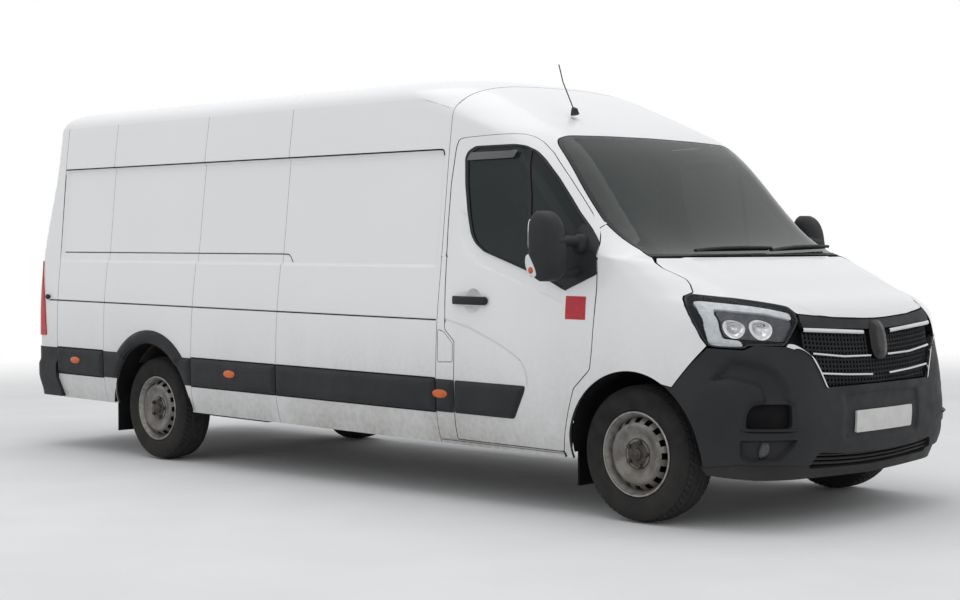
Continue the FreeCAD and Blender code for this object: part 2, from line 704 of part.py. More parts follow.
def make_rear():
    """Rear doors, rear bumper with its step, and tail lamps."""
    thickness = size("rear_door_thickness")
    slab = rear_slab(0, thickness, 0, 3000).common(prism_yz(rear_door_edge(0), -7000, -5000))
    pair = slab.common(span(-9000, 0, GAP, 1200, 0, 3000))
    for side, name in SIDES:
        sub_part(f"rear_door_{name}", on_side(pair, side))

    top = size("moulding_top")
    inner_x = REAR_CORNER_X + BUMPER_WRAP
    corner = 60
    half = HALF + size("moulding_proud")
    plan = polygon([V(inner_x, -half, 0), V(inner_x, half, 0), V(REAR_CORNER_X + corner, half, 0),
                    V(REAR_CORNER_X - 20, half - 90, 0), V(TAIL_X, 760, 0), V(TAIL_X, -760, 0),
                    V(REAR_CORNER_X - 20, -half + 90, 0), V(REAR_CORNER_X + corner, -half, 0)])
    bumper = Part.Face(plan).extrude(V(0, 0, top - 300))
    bumper.translate(V(0, 0, 300))
    inner = size("inner_half") + SEAT
    hollow = span(REAR_CORNER_X - 40, inner_x + 10, -inner, inner, 200, top + 10)
    bumper = bumper.cut(hollow)
    sub_part("rear_bumper", bumper)

    lamp = span(REAR_CORNER_X - 200, REAR_CORNER_X + 200, 925, 1100, 690, 1250)
    lamp = lamp.common(load_body(REAR_CORNER_X - 14, REAR_CORNER_X - SEAT))
    sub_part("tail_lamps", Part.makeCompound([lamp, flipped(lamp)]))


def moulding_bar(start, end, bottom=None):
    """A length of side moulding on the left, proud of the side."""
    low = size("moulding_bottom") if bottom is None else bottom
    bar = load_body(end, start, -size("moulding_proud")).cut(load_body(end - 1, start + 1, -SEAT))
    return bar.common(span(end, start, 800, 1200, low, size("moulding_top")))


def make_mouldings():
    """Side mouldings along the load body and round the rear arches, and on the doors."""
    arch = size("rear_arch_radius")
    x, z = REAR_WHEEL
    reach = math.sqrt((arch + 90) ** 2 - (size("moulding_top") - z) ** 2)
    # front, rear
    bars = ((PILLAR_X - GAP - 2, -2922), (-2930, -3842), (-3850, x + reach - 40),
            (x - reach + 40, -4908), (-4916, REAR_CORNER_X + BUMPER_WRAP + GAP))
    solids = [moulding_bar(start, end) for start, end in bars[:2]]
    ring = across(arch + 90, x, z, 900, 1200).cut(across(arch, x, z, 890, 1210))
    ring = ring.common(span(x - 700, x + 700, 0, 1200, size("moulding_bottom"), 3000))
    lip = load_body(x - 700, x + 700, -22).cut(load_body(x - 701, x + 701, -SEAT)).common(ring)
    for start, end in bars[2:4]:
        lip = lip.fuse(moulding_bar(start, end).cut(across(arch, x, z, 890, 1210)))
    solids.append(lip)
    solids.append(moulding_bar(*bars[4]))
    pieces = solids + [flipped(solid) for solid in solids]
    sub_part("side_mouldings", Part.makeCompound(pieces))
    door_bar = stack(NOSE, -size("moulding_proud")).cut(stack(NOSE, -SEAT))
    door_bar = door_bar.common(prism_xz([(-1294, 507), (-825, 507), (-742, 667), (-1292, 667)],
                                        600, 1200))
    for side, name in SIDES:
        sub_part(f"door_moulding_{name}", on_side(door_bar, side))


def make_chassis():
    """Ladder frame: two rails, cross-members and the rear end plates with tow-bar holes."""
    low = "floor_height-floor_thickness-rail_height"
    front = NOSE_X - 180
    back = REAR_CORNER_X + 40
    length = front - back
    pieces = []
    for side, name in SIDES:
        pieces.append(block(f"rail_{name}", length, "rail_width", "rail_height", back,
                            f"{side}*rail_y-rail_width/2", low))
    rails = doc.addObject("Part::Compound", "rail_blanks")
    rails.Links = pieces
    # The four holes stay square to the ground: place from the pattern's middle.
    corners = [in_body(along, up) for along in (-60, 60) for up in (-30, 30)]
    holes = []
    for side, name in SIDES:
        for number, (along, up) in enumerate(corners):
            holes.append(rod(f"tow_hole_{name}_{number}", "hole_radius", 200,
                             back + 100 + along, f"{side}*rail_y-100", f"{low}+60+{up}",
                             (0, 1, 0)))
    cutter = doc.addObject("Part::Compound", "tow_holes")
    cutter.Links = holes
    chassis = doc.addObject("Part::Cut", "chassis_rails")
    chassis.Base = rails
    chassis.Tool = cutter
    chassis.Label = "chassis_rails"
    chassis.Placement = BODY
    sub_parts.append(chassis)

    beams = []
    between = "2*rail_y-rail_width-2*seat_gap"
    inner = "-rail_y+rail_width/2+seat_gap"
    # place along the van, length of the member
    members = ((front - 80, 80), (-1000, 70), (-1900, 70), (-2800, 70), (-3650, 70),
               (-5000, 70), (back, 80))
    for number, (x, width) in enumerate(members):
        beams.append(block(f"cross_member_{number}", width, between, "rail_height-30", x,
                           inner, f"{low}+15"))
    beams.append(block("spare_wheel_beam", 60, between, 60, REAR_CORNER_X + SPARE_AHEAD - 30,
                       inner, low))
    reach = "body_half-skirt_thickness-rail_y-rail_width/2-2*seat_gap"
    for number, x in enumerate((-1600, -2500, -3500, -5150)):
        for side, name in SIDES:
            start = "rail_y+rail_width/2+seat_gap" if side == LEFT \
                else "-body_half+skirt_thickness+seat_gap"
            beams.append(block(f"outrigger_{number}_{name}", 60, reach, 50, x, start,
                               f"{low}+rail_height-50"))
    compound("cross_members", beams)


def make_running_gear():
    """Engine, gearbox and propshaft, axles, springs, tank, exhaust and spare wheel."""
    low = "floor_height-floor_thickness-rail_height"
    joined("engine", [
        block("engine_block", 560, 480, 560, 20, -240, 470),
        block("gearbox_front", 420, 300, 230, -400, -150, "floor_height-floor_thickness-10-230"),
        block("gearbox_rear", 420, 180, 180, -810, -90, "floor_height-floor_thickness-20-180"),
        block("engine_mounts", 120, "2*rail_y-rail_width-0.6", 60, 200,
              "-rail_y+rail_width/2+0.3", 480),
    ])
    shaft_length = -810 - (REAR_WHEEL[0] + 190)
    joined("propshaft", [
        rod("shaft_tube", 42, shaft_length - 0.6, REAR_WHEEL[0] + 190.3, 0, 400, (1, 0, 0)),
    ])
    x, z = REAR_WHEEL
    pieces = [
        rod("axle_tube", "axle_tube_radius", "rear_track-tyre_width-70", x,
            "-(rear_track-tyre_width-70)/2", z, (0, 1, 0)),
        rod("axle_ball", 150, 200, x, -100, z, (0, 1, 0)),
        rod("pinion", 60, 160, x + 30, 0, 400, (1, 0, 0)),
        block("pinion_neck", 100, 120, 150, x + 30, -60, 300),
    ]
    for side, name in SIDES:
        start = "rear_track/2-3-170" if side == LEFT else "-rear_track/2+3"
        pieces.append(rod(f"rear_hub_{name}", 62, 170, x, start, z, (0, 1, 0)))
    joined("rear_axle", pieces)
    springs = []
    leaf_bottom = f"{z}-axle_tube_radius-seat_gap-30"
    for side, name in SIDES:
        leaf = [block(f"leaf_{name}", 1400, "spring_width", 30, x - 700,
                      f"{side}*spring_y-spring_width/2", leaf_bottom)]
        for end, place_x in (("front", x + 640), ("rear", x - 700)):
            leaf.append(block(f"hanger_{end}_{name}", 60, 60,
                              f"{low}+rail_height-20-({leaf_bottom})", place_x,
                              f"{side}*(rail_y+rail_width/2+seat_gap+30)-30", leaf_bottom))
        spring = doc.addObject("Part::MultiFuse", f"spring_{name}")
        spring.Shapes = leaf
        springs.append(spring)
    compound("leaf_springs", springs)
    joined("fuel_tank", [
        block("tank", 780, 330, "rail_height+100", -2440, "-rail_y-rail_width/2-0.3-330",
              f"{low}-100"),
    ])
    joined("exhaust", [
        rod("silencer", 105, 620, -2440, "rail_y+rail_width/2+0.3+105", f"{low}+0", (1, 0, 0)),
        rod("front_pipe", 30, 1000, -1830, "rail_y+rail_width/2+0.3+105", f"{low}", (1, 0, 0)),
        rod("tail_pipe", 30, 1000, -3430, "rail_y+rail_width/2+0.3+105", f"{low}", (1, 0, 0)),
    ])
    spare = Part.makeTorus(TYRE_RADIUS - 110, 100, V(0, 0, 0), V(0, 0, 1))
    spare = spare.fuse(Part.makeCylinder(TYRE_RADIUS - 120, 60, V(0, 0, -30)))
    spare.translate(V(REAR_CORNER_X + SPARE_AHEAD, 0, size("floor_height") - size("floor_thickness")
                      - size("rail_height") - 100 - SEAT))
    sub_part("spare_wheel", spare)

    radius = size("kingpin_y")
    pieces = [
        block("subframe", 300, 1000, 60, -150, -500, 260),
        block("subframe_post_left", 80, 60, f"{low}-300-seat_gap", -40, 400, 300),
        block("subframe_post_right", 80, 60, f"{low}-300-seat_gap", -40, -460, 300),
    ]
    for side, name in SIDES:
        reach = radius - 45
        pieces.append(block(f"lower_arm_{name}", 44, reach - 480, 30, -27,
                            480 if side == LEFT else -reach, 235))
    joined("front_subframe", pieces)


def make_knuckles():
    """Steered knuckles: hub, upright and strut foot, on the kingpin."""
    x, z = FRONT_AXLE_X, TYRE_RADIUS
    kingpin = size("kingpin_y")
    for side, name in SIDES:
        hub = across(62, x, z, kingpin - 50, size("front_track") / 2 - 3)
        upright = span(x - 35, x + 35, kingpin - 100, kingpin - 40, 266.5, z + 170)
        disc = across(150, x, z, kingpin - 18, kingpin + 6)
        pin = Part.makeCylinder(16, 270, V(x, kingpin, z - 135))
        knuckle = hub.fuse(upright).fuse(disc).fuse(pin)
        sub_part(f"knuckle_{name}", on_side(knuckle, side), ROW)


def wheel_shapes():
    """Rim and tyre on a Y axis through the origin, outer side at +Y."""
    half = size("tyre_width") / 2
    outer = TYRE_RADIUS
    flange = size("rim_diameter") / 2
    bead = flange - 14
    tyre_profile = [(flange - 2, -half + 22), (flange + 60, -half), (outer - 50, -half + 4),
                    (outer - 12, -half + 18), (outer, -half + 36), (outer, half - 36),
                    (outer - 12, half - 18), (outer - 50, half - 4), (flange + 60, half),
                    (flange - 2, half - 22), (bead, half - 22), (bead, -half + 22)]
    rim_profile = [(bead - 12, -half + 20), (flange, -half + 8), (flange, -half + 20),
                   (bead - SEAT, -half + 21), (bead - SEAT, half - 21), (flange, half - 20),
                   (flange, half - 8), (bead - 12, half - 20), (bead - 14, 50), (150, 42),
                   (110, 12), (75, 14), (60, 34), (52, 34), (52, -2), (70, -2), (110, 0),
                   (150, 30), (bead - 24, 36), (bead - 24, -half + 30)]

    def turned(profile):
        wire = polygon([V(r, y, 0) for r, y in profile])
        return Part.Face(wire).revolve(V(), V(0, 1, 0), 360)

    rim = turned(rim_profile)
    slots = 16
    for number in range(slots):
        slot = Part.makeBox(14, 90, 34, V(168, 0, -17))
        slot.rotate(V(), V(0, 1, 0), number * 360 / slots)
        rim = rim.cut(slot)
    return rim, turned(tyre_profile)


def make_wheels():
    """Four wheels, each a rim and a tyre."""
    rim, tyre = wheel_shapes()
    # name, place along the van, track
    axles = (("front", FRONT_AXLE_X, size("front_track")),
             ("rear", REAR_AXLE_X, size("rear_track")))
    for axle, x, track in axles:
        for side, name in SIDES:
            centre = FreeCAD.Placement(V(x, side * track / 2, TYRE_RADIUS), FreeCAD.Rotation())
            sub_part(f"rim_{axle}_{name}", on_side(rim, side), centre)
            sub_part(f"tyre_{axle}_{name}", on_side(tyre, side), centre)


def make_interior():
    """Seats, dashboard and steering wheel."""
    floor = size("floor_height")
    back = [(-1310, floor + 430), (-1180, floor + 400), (-1270, floor + 1010),
            (-1330, floor + 1010), (-1400, floor + 440)]
    seats = []
    # centre, width
    for centre, width in ((-500, 480), (330, 900)):
        low, high = centre - width / 2, centre + width / 2
        seat = span(-1280, -800, low + 40, high - 40, floor + SEAT, floor + 300)
        seat = seat.fuse(span(-1330, -790, low, high, floor + 290, floor + 430))
        seat = seat.fuse(prism_xz(back, low, high))
        seats.append(seat)
    sub_part("seats", Part.makeCompound(seats))

    profile = [(-60 - SEAT, 1300), (-400, 1285), (-470, 1200), (-430, 960), (-330, 860),
               (-60 - SEAT, 860)]
    board = prism_xz(profile, -785, 785)
    wheel = Part.makeTorus(190, 16, V(), V(0, 0, 1))
    wheel = wheel.fuse(Part.makeCylinder(60, 40, V(0, 0, -50)))
    for number in range(3):
        spoke = Part.makeBox(190, 34, 16, V(0, -17, -30))
        spoke.rotate(V(), V(0, 0, 1), 90 + number * 120)
        wheel = wheel.fuse(spoke)
    wheel = wheel.fuse(Part.makeCylinder(28, 240, V(0, 0, -280)))
    wheel.Placement = FreeCAD.Placement(V(-640, -450, 1210),
                                        FreeCAD.Rotation(V(0, 1, 0), -38))
    sub_part("dashboard", board.fuse(wheel))


def make_roof_fittings():
    """Wipers on the scuttle and the aerial on the cab roof."""
    arms = []
    # pivot y, blade length
    for pivot, length in ((-620, 620), (80, 560)):
        lift = stack(GLASSHOUSE, -16, 1.35).cut(stack(GLASSHOUSE, -SEAT, 1.35))
        strip = [(pivot, BELT + 14), (pivot + length, BELT + 40), (pivot + length, BELT + 64),
                 (pivot, BELT + 44)]
        arms.append(lift.common(prism_yz(strip, -500, 500)))
    sub_part("wipers", Part.makeCompound(arms))
    mast = Part.makeCylinder(4, 330, V(), V(-0.38, 0, 1))
    mast = mast.fuse(Part.makeCone(24, 12, 28, V(0, 0, -10), V(0, 0, 1)))
    mast.translate(V(-940, -450, 2186))
    sub_part("aerial", mast.cut(stack(GLASSHOUSE, -SEAT, 1.35)))


def check():
    """Stops on a failed feature or an unsound sub-part."""
    doc.recompute()
    for feature in doc.Objects:
        if "Invalid" in feature.State or "Error" in feature.State:
            raise RuntimeError(f"{feature.Label}: {feature.State}")
    for feature in sub_parts:
        shape = feature.Shape
        if shape.isNull() or not shape.Solids or not shape.isValid():
            raise RuntimeError(f"{feature.Label} has no sound shape")


def export():
    """Writes each sub-part to a file of its own."""
    os.makedirs("parts", exist_ok=True)
    for feature in sub_parts:
        feature.Shape.exportStep(f"parts/{feature.Label}.step")


make_side_panels()
make_cargo_roof()
make_cab()
make_nose()
make_floor()
make_rear()
make_mouldings()
make_chassis()
make_running_gear()
make_knuckles()
make_wheels()
make_interior()
make_roof_fittings()
check()
export()
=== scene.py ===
"""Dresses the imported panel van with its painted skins, lamps, glass, wheels and studio.

The body is described in body-frame millimetres, level, with its origin on the ground under the
front axle. BodyFrame turns those points into the row frame, in metres, where the body stands
nose down by its rake. Each skin is a region of one smooth surface, cut by its own outline.
"""
from __future__ import annotations

import json
import logging
import math
from dataclasses import dataclass, field
from enum import Enum
from typing import Callable, Sequence

import bpy
import numpy as np
from mathutils import Matrix, Vector
from mathutils.geometry import delaunay_2d_cdt

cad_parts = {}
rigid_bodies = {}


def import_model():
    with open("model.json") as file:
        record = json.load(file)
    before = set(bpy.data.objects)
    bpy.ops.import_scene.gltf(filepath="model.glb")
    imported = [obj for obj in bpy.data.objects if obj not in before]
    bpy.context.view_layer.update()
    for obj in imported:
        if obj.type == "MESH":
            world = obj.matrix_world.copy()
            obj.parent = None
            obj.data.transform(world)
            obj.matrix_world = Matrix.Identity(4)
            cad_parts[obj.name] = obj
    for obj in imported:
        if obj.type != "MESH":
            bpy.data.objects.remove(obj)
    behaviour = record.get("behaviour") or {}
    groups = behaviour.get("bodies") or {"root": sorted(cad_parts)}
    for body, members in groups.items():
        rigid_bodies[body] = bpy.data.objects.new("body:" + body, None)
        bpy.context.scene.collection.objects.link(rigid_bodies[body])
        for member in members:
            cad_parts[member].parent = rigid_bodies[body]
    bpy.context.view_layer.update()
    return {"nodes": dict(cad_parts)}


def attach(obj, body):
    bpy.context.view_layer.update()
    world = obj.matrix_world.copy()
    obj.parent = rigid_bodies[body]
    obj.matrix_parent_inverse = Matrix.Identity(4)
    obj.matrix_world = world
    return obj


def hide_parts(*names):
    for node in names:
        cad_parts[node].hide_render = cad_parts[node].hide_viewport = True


LOG = logging.getLogger("panel_van")
Array = np.ndarray
Chart = Callable[[Array], Array]
Outline = Sequence[tuple[float, float]]
Socket = bpy.types.NodeSocket

FRONT_AXLE_X = 2568.5
TRACK_HALF = {"front": 875.0, "rear": 865.0}
WHEELBASE = 4332.0
TYRE_RADIUS = 356.0
RAKE = math.radians(0.84)
HALF_WIDTH = 1035.0
NOSE_X = 860.7
CORNER_X = -5800.2
VAN_MIDDLE = (-3000, 0, 1200)
VAN = "van_body"


class Side(Enum):
    """The two sides of the van."""

    RIGHT = -1
    LEFT = 1

    @property
    def word(self) -> str:
        """The side's name in lower case."""
        return self.name.lower()


def to_row(points: Array) -> Array:
    """Body-frame millimetres to row-frame metres: a turn by the rake and a shift to the axle.

    Args:
        points: Places as an array whose last axis is x, y, z.

    Returns:
        The same places in the row frame, in metres.
    """
    cos, sin = math.cos(RAKE), math.sin(RAKE)
    x, y, z = points[..., 0], points[..., 1], points[..., 2]
    return rows_of(FRONT_AXLE_X + x * cos + z * sin, y, z * cos - x * sin) / 1000


def rows_of(*columns: Array | float) -> Array:
    """Columns spread to a shared shape and set side by side along a new last axis."""
    return np.stack(np.broadcast_arrays(*columns), -1)


def signed_power(value: Array, power: float) -> Array:
    """The size of a value raised to a power, with the value's own sign."""
    return np.sign(value) * np.abs(value) ** power


def monotone(xs: Array, ys: Array, at: Array) -> Array:
    """Cubic interpolation that never overshoots: slopes are harmonic means of the chords.

    Args:
        xs: Rising places.
        ys: Values there.
        at: Places asked for.

    Returns:
        The interpolated values.
    """
    at = np.clip(np.asarray(at, float), xs[0], xs[-1])
    gap = np.diff(xs)
    chord = np.diff(ys) / gap
    slope = np.empty_like(ys)
    slope[0], slope[-1] = chord[0], chord[-1]
    near, far = 2 * gap[1:] + gap[:-1], gap[1:] + 2 * gap[:-1]
    same = chord[:-1] * chord[1:] > 0
    with np.errstate(divide="ignore", invalid="ignore"):
        mean = (near + far) / (near / chord[:-1] + far / chord[1:])
    slope[1:-1] = np.where(same, mean, 0.0)
    i = np.clip(np.searchsorted(xs, at, side="right") - 1, 0, len(gap) - 1)
    t = (at - xs[i]) / gap[i]
    return ((2 * t ** 3 - 3 * t ** 2 + 1) * ys[i] + (t ** 3 - 2 * t ** 2 + t) * gap[i] * slope[i]
            + (3 * t ** 2 - 2 * t ** 3) * ys[i + 1] + (t ** 3 - t ** 2) * gap[i] * slope[i + 1])


def smoothstep(low: float, high: float, value: Array) -> Array:
    """0 before low, 1 after high, and an S curve between."""
    t = np.clip((value - low) / (high - low), 0, 1)
    return t * t * (3 - 2 * t)


class BodySurface:
    """The whole outer body as plan sections stacked in height.

    Each row holds a height, how far the section's front is set back from the nose, how far its
    sides are tucked in, its corner radius and the radius of its bowed front. A place on the
    surface is (s, q): s runs along the plan outline from the middle of the front, positive to
    the left, and q rises with height, about as fast as the surface is long.
    """

    ROWS = np.array([
        (180, 110, 95, 420, 4500), (230, 91, 80, 430, 4500), (300, 56, 50, 480, 4500),
        (450, 9, 13, 520, 4500), (560, 0, 5, 540, 4500), (700, 16, 0, 550, 4500),
        (930, 46, 2, 600, 4500), (1050, 76, 8, 560, 4500), (1125, 156, 13, 540, 4500),
        (1190, 316, 19, 470, 3500), (1290, 536, 28, 320, 3000), (1362, 751, 33, 190, 4500),
        (1378, 806, 34.5, 262, 6000), (2040, 1549, 88, 330, 6000), (2177, 1793, 103, 450, 4000),
        (2290, 2041, 117, 520, 3000), (2340, 2161, 151, 520, 2800), (2372, 2246, 215, 500, 2500),
        (2400, 2341, 335, 460, 2300), (2425, 2501, 475, 400, 2000), (2445, 2761, 655, 300, 1600),
        (2458, 3161, 855, 150, 1200), (2462, 3501, 1015, 15, 900)], float)

    def __init__(self) -> None:
        """Lays q along the rows by the longer of the front's and the side's own length."""
        self.z, back, self.tuck, self.corner, self.radius = self.ROWS.T
        self.front = NOSE_X - back
        rise = np.diff(self.z)
        step = np.maximum(np.hypot(rise, np.diff(self.front)), np.hypot(rise, np.diff(self.tuck)))
        self.q = self.z[0] + np.concatenate([[0.0], np.cumsum(step)])
        self.fine_q = np.linspace(self.q[0], self.q[-1], 6001)
        self.fine_z = monotone(self.q, self.z, self.fine_q)

    def q_at(self, z: Array | float) -> Array:
        """The q of a height."""
        return np.interp(z, self.fine_z, self.fine_q)

    def half_at(self, z: Array | float) -> Array:
        """Half the body's width at a height."""
        return HALF_WIDTH - monotone(self.q, self.tuck, self.q_at(z))

    def section(self, q: Array) -> tuple[Array, ...]:
        """A plan section's half width, corner, front radius, arc centres and meeting angle.

        Args:
            q: Heights along the surface.

        Returns:
            Half width, corner radius, front radius, the corner's centre x and y, the
            front's centre x, and the angle where the two arcs meet.
        """
        front = monotone(self.q, self.front, q)
        half = HALF_WIDTH - monotone(self.q, self.tuck, q)
        corner = monotone(self.q, self.corner, q)
        radius = monotone(self.q, self.radius, q)
        corner_y = half - corner
        bow_x = front - radius
        corner_x = bow_x + np.sqrt(np.maximum((radius - corner) ** 2 - corner_y ** 2, 1))
        meet = np.arctan2(corner_y, corner_x - bow_x)
        return half, corner, radius, corner_x, corner_y, bow_x, meet

    def point(self, place: Array) -> Array:
        """Places on the surface: the front's arc, then the corner's arc, then straight back.

        Args:
            place: Rows of (s, q).

        Returns:
            Rows of x, y, z in body-frame millimetres.
        """
        s, q = place[..., 0], place[..., 1]
        half, corner, radius, corner_x, corner_y, bow_x, turn = self.section(q)
        along = np.abs(s)
        first = radius * turn
        second = corner * (math.pi / 2 - turn)
        wide = along / radius
        tight = turn + (along - first) / corner
        in_front, in_corner = along < first, along < first + second
        x = np.where(in_front, bow_x + radius * np.cos(wide),
                     np.where(in_corner, corner_x + corner * np.cos(tight),
                              corner_x - (along - first - second)))
        y = np.where(in_front, radius * np.sin(wide),
                     np.where(in_corner, corner_y + corner * np.sin(tight), half))
        return rows_of(x, np.where(s < 0, -y, y), monotone(self.q, self.z, q))

    def side(self, outline: Outline) -> Array:
        """(s, q) of side-view places (x, z) on the left.

        Args:
            outline: Places (x, z).

        Returns:
            Rows of (s, q).
        """
        x, z = np.array(outline, float).T
        q = self.q_at(z)
        _, corner, radius, corner_x, _, _, turn = self.section(q)
        first = radius * turn
        t = np.clip((x - corner_x) / corner, -1, 1)
        s = np.where(x < corner_x, first + corner * (math.pi / 2 - turn) + corner_x - x,
                     first + corner * (np.arccos(t) - turn))
        return rows_of(s, q)

    def s_at_y(self, y: Array, q: Array) -> Array:
        """The s of a place y across the van.

        Args:
            y: Places across the van.
            q: Heights along the surface.

        Returns:
            The way round the section to each.
        """
        _, corner, radius, _, corner_y, _, turn = self.section(q)
        across = np.abs(y)
        first = radius * turn
        wide = radius * np.arcsin(np.clip(across / radius, -1, 1))
        tight = first + corner * (np.arcsin(np.clip((across - corner_y) / corner, -1, 1)) - turn)
        return np.sign(y) * np.where(across < radius * np.sin(turn), wide, tight)

    def top(self, outline: Array) -> Array:
        """(s, q) of plan-view places (x, y), by halving the range of q forty times.

        Args:
            outline: Places (x, y).

        Returns:
            Rows of (s, q).
        """
        x, y = np.asarray(outline, float).T
        low = np.full(len(x), self.q_at(np.array(1378.0)))
        high = np.full(len(x), self.q[-1])
        for _ in range(40):
            q = (low + high) / 2
            half = HALF_WIDTH - monotone(self.q, self.tuck, q)
            there = self.point(rows_of(self.s_at_y(y, q), q))[:, 0]
            inside = (np.abs(y) < half) & (there > x)
            low, high = np.where(inside, q, low), np.where(inside, high, q)
        q = (low + high) / 2
        return rows_of(self.s_at_y(y, q), q)

    def roof(self, plan: Array) -> Array:
        """Roof places over plan-view places (x, y)."""
        height = self.point(self.top(plan))[:, 2]
        return rows_of(plan[:, 0], plan[:, 1], height)


BODY = BodySurface()


def rear_lean(z: Array) -> Array:
    """How far the rear leans forwards at a height."""
    return monotone(np.array([0.0, 560, 1270, 2031, 2420]), np.array([0.0, 0, 0, 130, 145]), z)


def load_side(place: Array) -> Array:
    """The load body's left side over side-view places (x, z), turned round the rear corner.

    Ahead of the corner's arc the side is at its half width. In the arc it turns by an angle
    equal to the way left over the radius, and past it runs inwards across the rear face.

    Args:
        place: Rows of (x, z).

    Returns:
        Rows of x, y, z in body-frame millimetres.
    """
    x, z = place[:, 0], place[:, 1]
    back = CORNER_X + rear_lean(z)
    ahead = x - back
    bend = 62.0
    angle = np.clip((bend - ahead) / bend, 0, math.pi / 2)
    inward = np.maximum(bend * (1 - math.pi / 2) - ahead, 0)
    straight = BODY.point(BODY.side(rows_of(np.maximum(x, back + bend), z)))[:, 1]
    px = np.where(ahead > bend, x, back + bend - bend * np.sin(angle))
    py = straight - bend + bend * np.cos(angle) - inward
    return rows_of(px, py, z)


def rear_face(place: Array) -> Array:
    """The rear doors' face over rear-view places (y, z).

    Args:
        place: Rows of (y, z).

    Returns:
        Rows of x, y, z in body-frame millimetres.
    """
    y, z = place[:, 0], place[:, 1]
    bulge = 14 * (1 - (y / 900) ** 2)
    return rows_of(CORNER_X + rear_lean(z) - bulge, y, z)


def densify(line: Array, step: float, closed: bool) -> Array:
    """A polyline with points no further apart than a step.

    Args:
        line: The polyline's points.
        step: The longest run between two points.
        closed: Whether its last point joins its first.

    Returns:
        The polyline with points added.
    """
    ends = np.roll(line, -1, 0) if closed else line[1:]
    out = []
    for start, end in zip(line, ends):
        count = max(1, int(math.ceil(np.linalg.norm(end - start) / step)))
        out.append(start + (end - start) * np.arange(count)[:, None] / count)
    if not closed:
        out.append(line[-1:])
    return np.vstack(out)


def rounded(points: Outline, radius: float, closed: bool = True) -> Array:
    """A polygon whose corners are replaced by quadratic curves of up to a radius.

    Args:
        points: The polygon's corners.
        radius: How far from a corner its curve may begin.
        closed: Whether the last corner joins the first.

    Returns:
        The polygon with curved corners.
    """
    line = np.array(points, float)
    count = len(line)
    out = []
    for i in range(count):
        here = line[i]
        if not closed and i in (0, count - 1):
            out.append(here[None])
            continue
        before, after = line[i - 1] - here, line[(i + 1) % count] - here
        near, far = np.linalg.norm(before), np.linalg.norm(after)
        reach = min(radius, 0.45 * near, 0.45 * far)
        start, end = here + before / near * reach, here + after / far * reach
        t = np.linspace(0, 1, 7)[:, None]
        out.append((1 - t) ** 2 * start + 2 * t * (1 - t) * here + t ** 2 * end)
    return np.vstack(out)


def grown(line: Array, margin: float) -> Array:
    """A closed polyline moved outwards by a margin, along the mean of its edges' normals.

    Args:
        line: The closed polyline.
        margin: How far it moves, inwards where negative.

    Returns:
        The moved polyline.
    """
    edge = np.roll(line, -1, 0) - line
    keep = np.linalg.norm(edge, axis=1) > 1e-6
    line = line[keep]
    edge = np.roll(line, -1, 0) - line
    area = np.sum(line[:, 0] * np.roll(line[:, 1], -1) - np.roll(line[:, 0], -1) * line[:, 1])
    normal = rows_of(edge[:, 1], -edge[:, 0]) * np.sign(area)
    normal /= np.linalg.norm(normal, axis=1, keepdims=True)
    both = normal + np.roll(normal, 1, 0)
    both /= np.maximum(np.linalg.norm(both, axis=1, keepdims=True), 1e-6)
    cosine = np.maximum(np.sum(both * normal, axis=1, keepdims=True), 0.5)
    return line + both * margin / cosine


def inside(points: Array, loops: Sequence[Array]) -> Array:
    """Which points an odd number of crossings puts inside the loops.

    Args:
        points: Places in the plane.
        loops: Closed outlines.

    Returns:
        True for each point inside.
    """
    x, z = points[:, :1], points[:, 1:2]
    result = np.zeros(len(points), bool)
    for loop in loops:
        (x0, z0), (x1, z1) = loop.T, np.roll(loop, -1, 0).T
        with np.errstate(divide="ignore", invalid="ignore"):
            at = x0 + (z - z0) / (z1 - z0) * (x1 - x0)
        result ^= (((z0 > z) != (z1 > z)) & (x < at)).sum(1) % 2 == 1
    return result


def triangulate(loops: Sequence[Array], guides: Sequence[Array],
                spacing: float) -> tuple[Array, Array]:
    """Fills a region with even triangles that keep its loops and guide lines as edges.

    Args:
        loops: Closed outlines, the outer one first, then its holes.
        guides: Open lines inside that the triangles must follow.
        spacing: About the length of a triangle's side.

    Returns:
        The points and the triangles' corner numbers.
    """
    lines = [(densify(loop, spacing * 0.6, True), True) for loop in loops]
    lines += [(densify(guide, spacing * 0.6, False), False) for guide in guides]
    points, edges, start = [], [], 0
    for line, closed in lines:
        count = len(line)
        points.append(line)
        ends = np.arange(count if closed else count - 1)
        edges += [(start + i, start + (i + 1) % count) for i in ends.tolist()]
        start += count
    border = np.vstack(points)
    low, high = lines[0][0].min(0), lines[0][0].max(0)
    rows = np.arange(low[1], high[1], spacing * 0.87)
    columns = np.arange(low[0], high[0], spacing)
    u, v = np.meshgrid(columns, rows)
    u = u + (np.arange(len(rows)) % 2)[:, None] * spacing / 2
    grid = rows_of(u.ravel(), v.ravel())
    grid = grid[inside(grid, [line for line, closed in lines if closed])]
    near = np.full(len(grid), np.inf)
    for chunk in np.array_split(border, max(1, len(border) // 200)):
        gap = grid[:, None, :] - chunk[None]
        near = np.minimum(near, np.sqrt((gap ** 2).sum(-1)).min(1))
    grid = grid[near > spacing * 0.5]
    everything = np.vstack([border, grid])
    found = delaunay_2d_cdt([Vector(p) for p in everything.tolist()], edges, [], 0, 1e-4, False)
    place = np.array([tuple(p) for p in found[0]])
    faces = np.array([f for f in found[2] if len(f) == 3])
    centre = place[faces].mean(1)
    faces = faces[inside(centre, [line for line, closed in lines if closed])]
    used, corner = np.unique(faces, return_inverse=True)
    return place[used], corner.reshape(faces.shape)


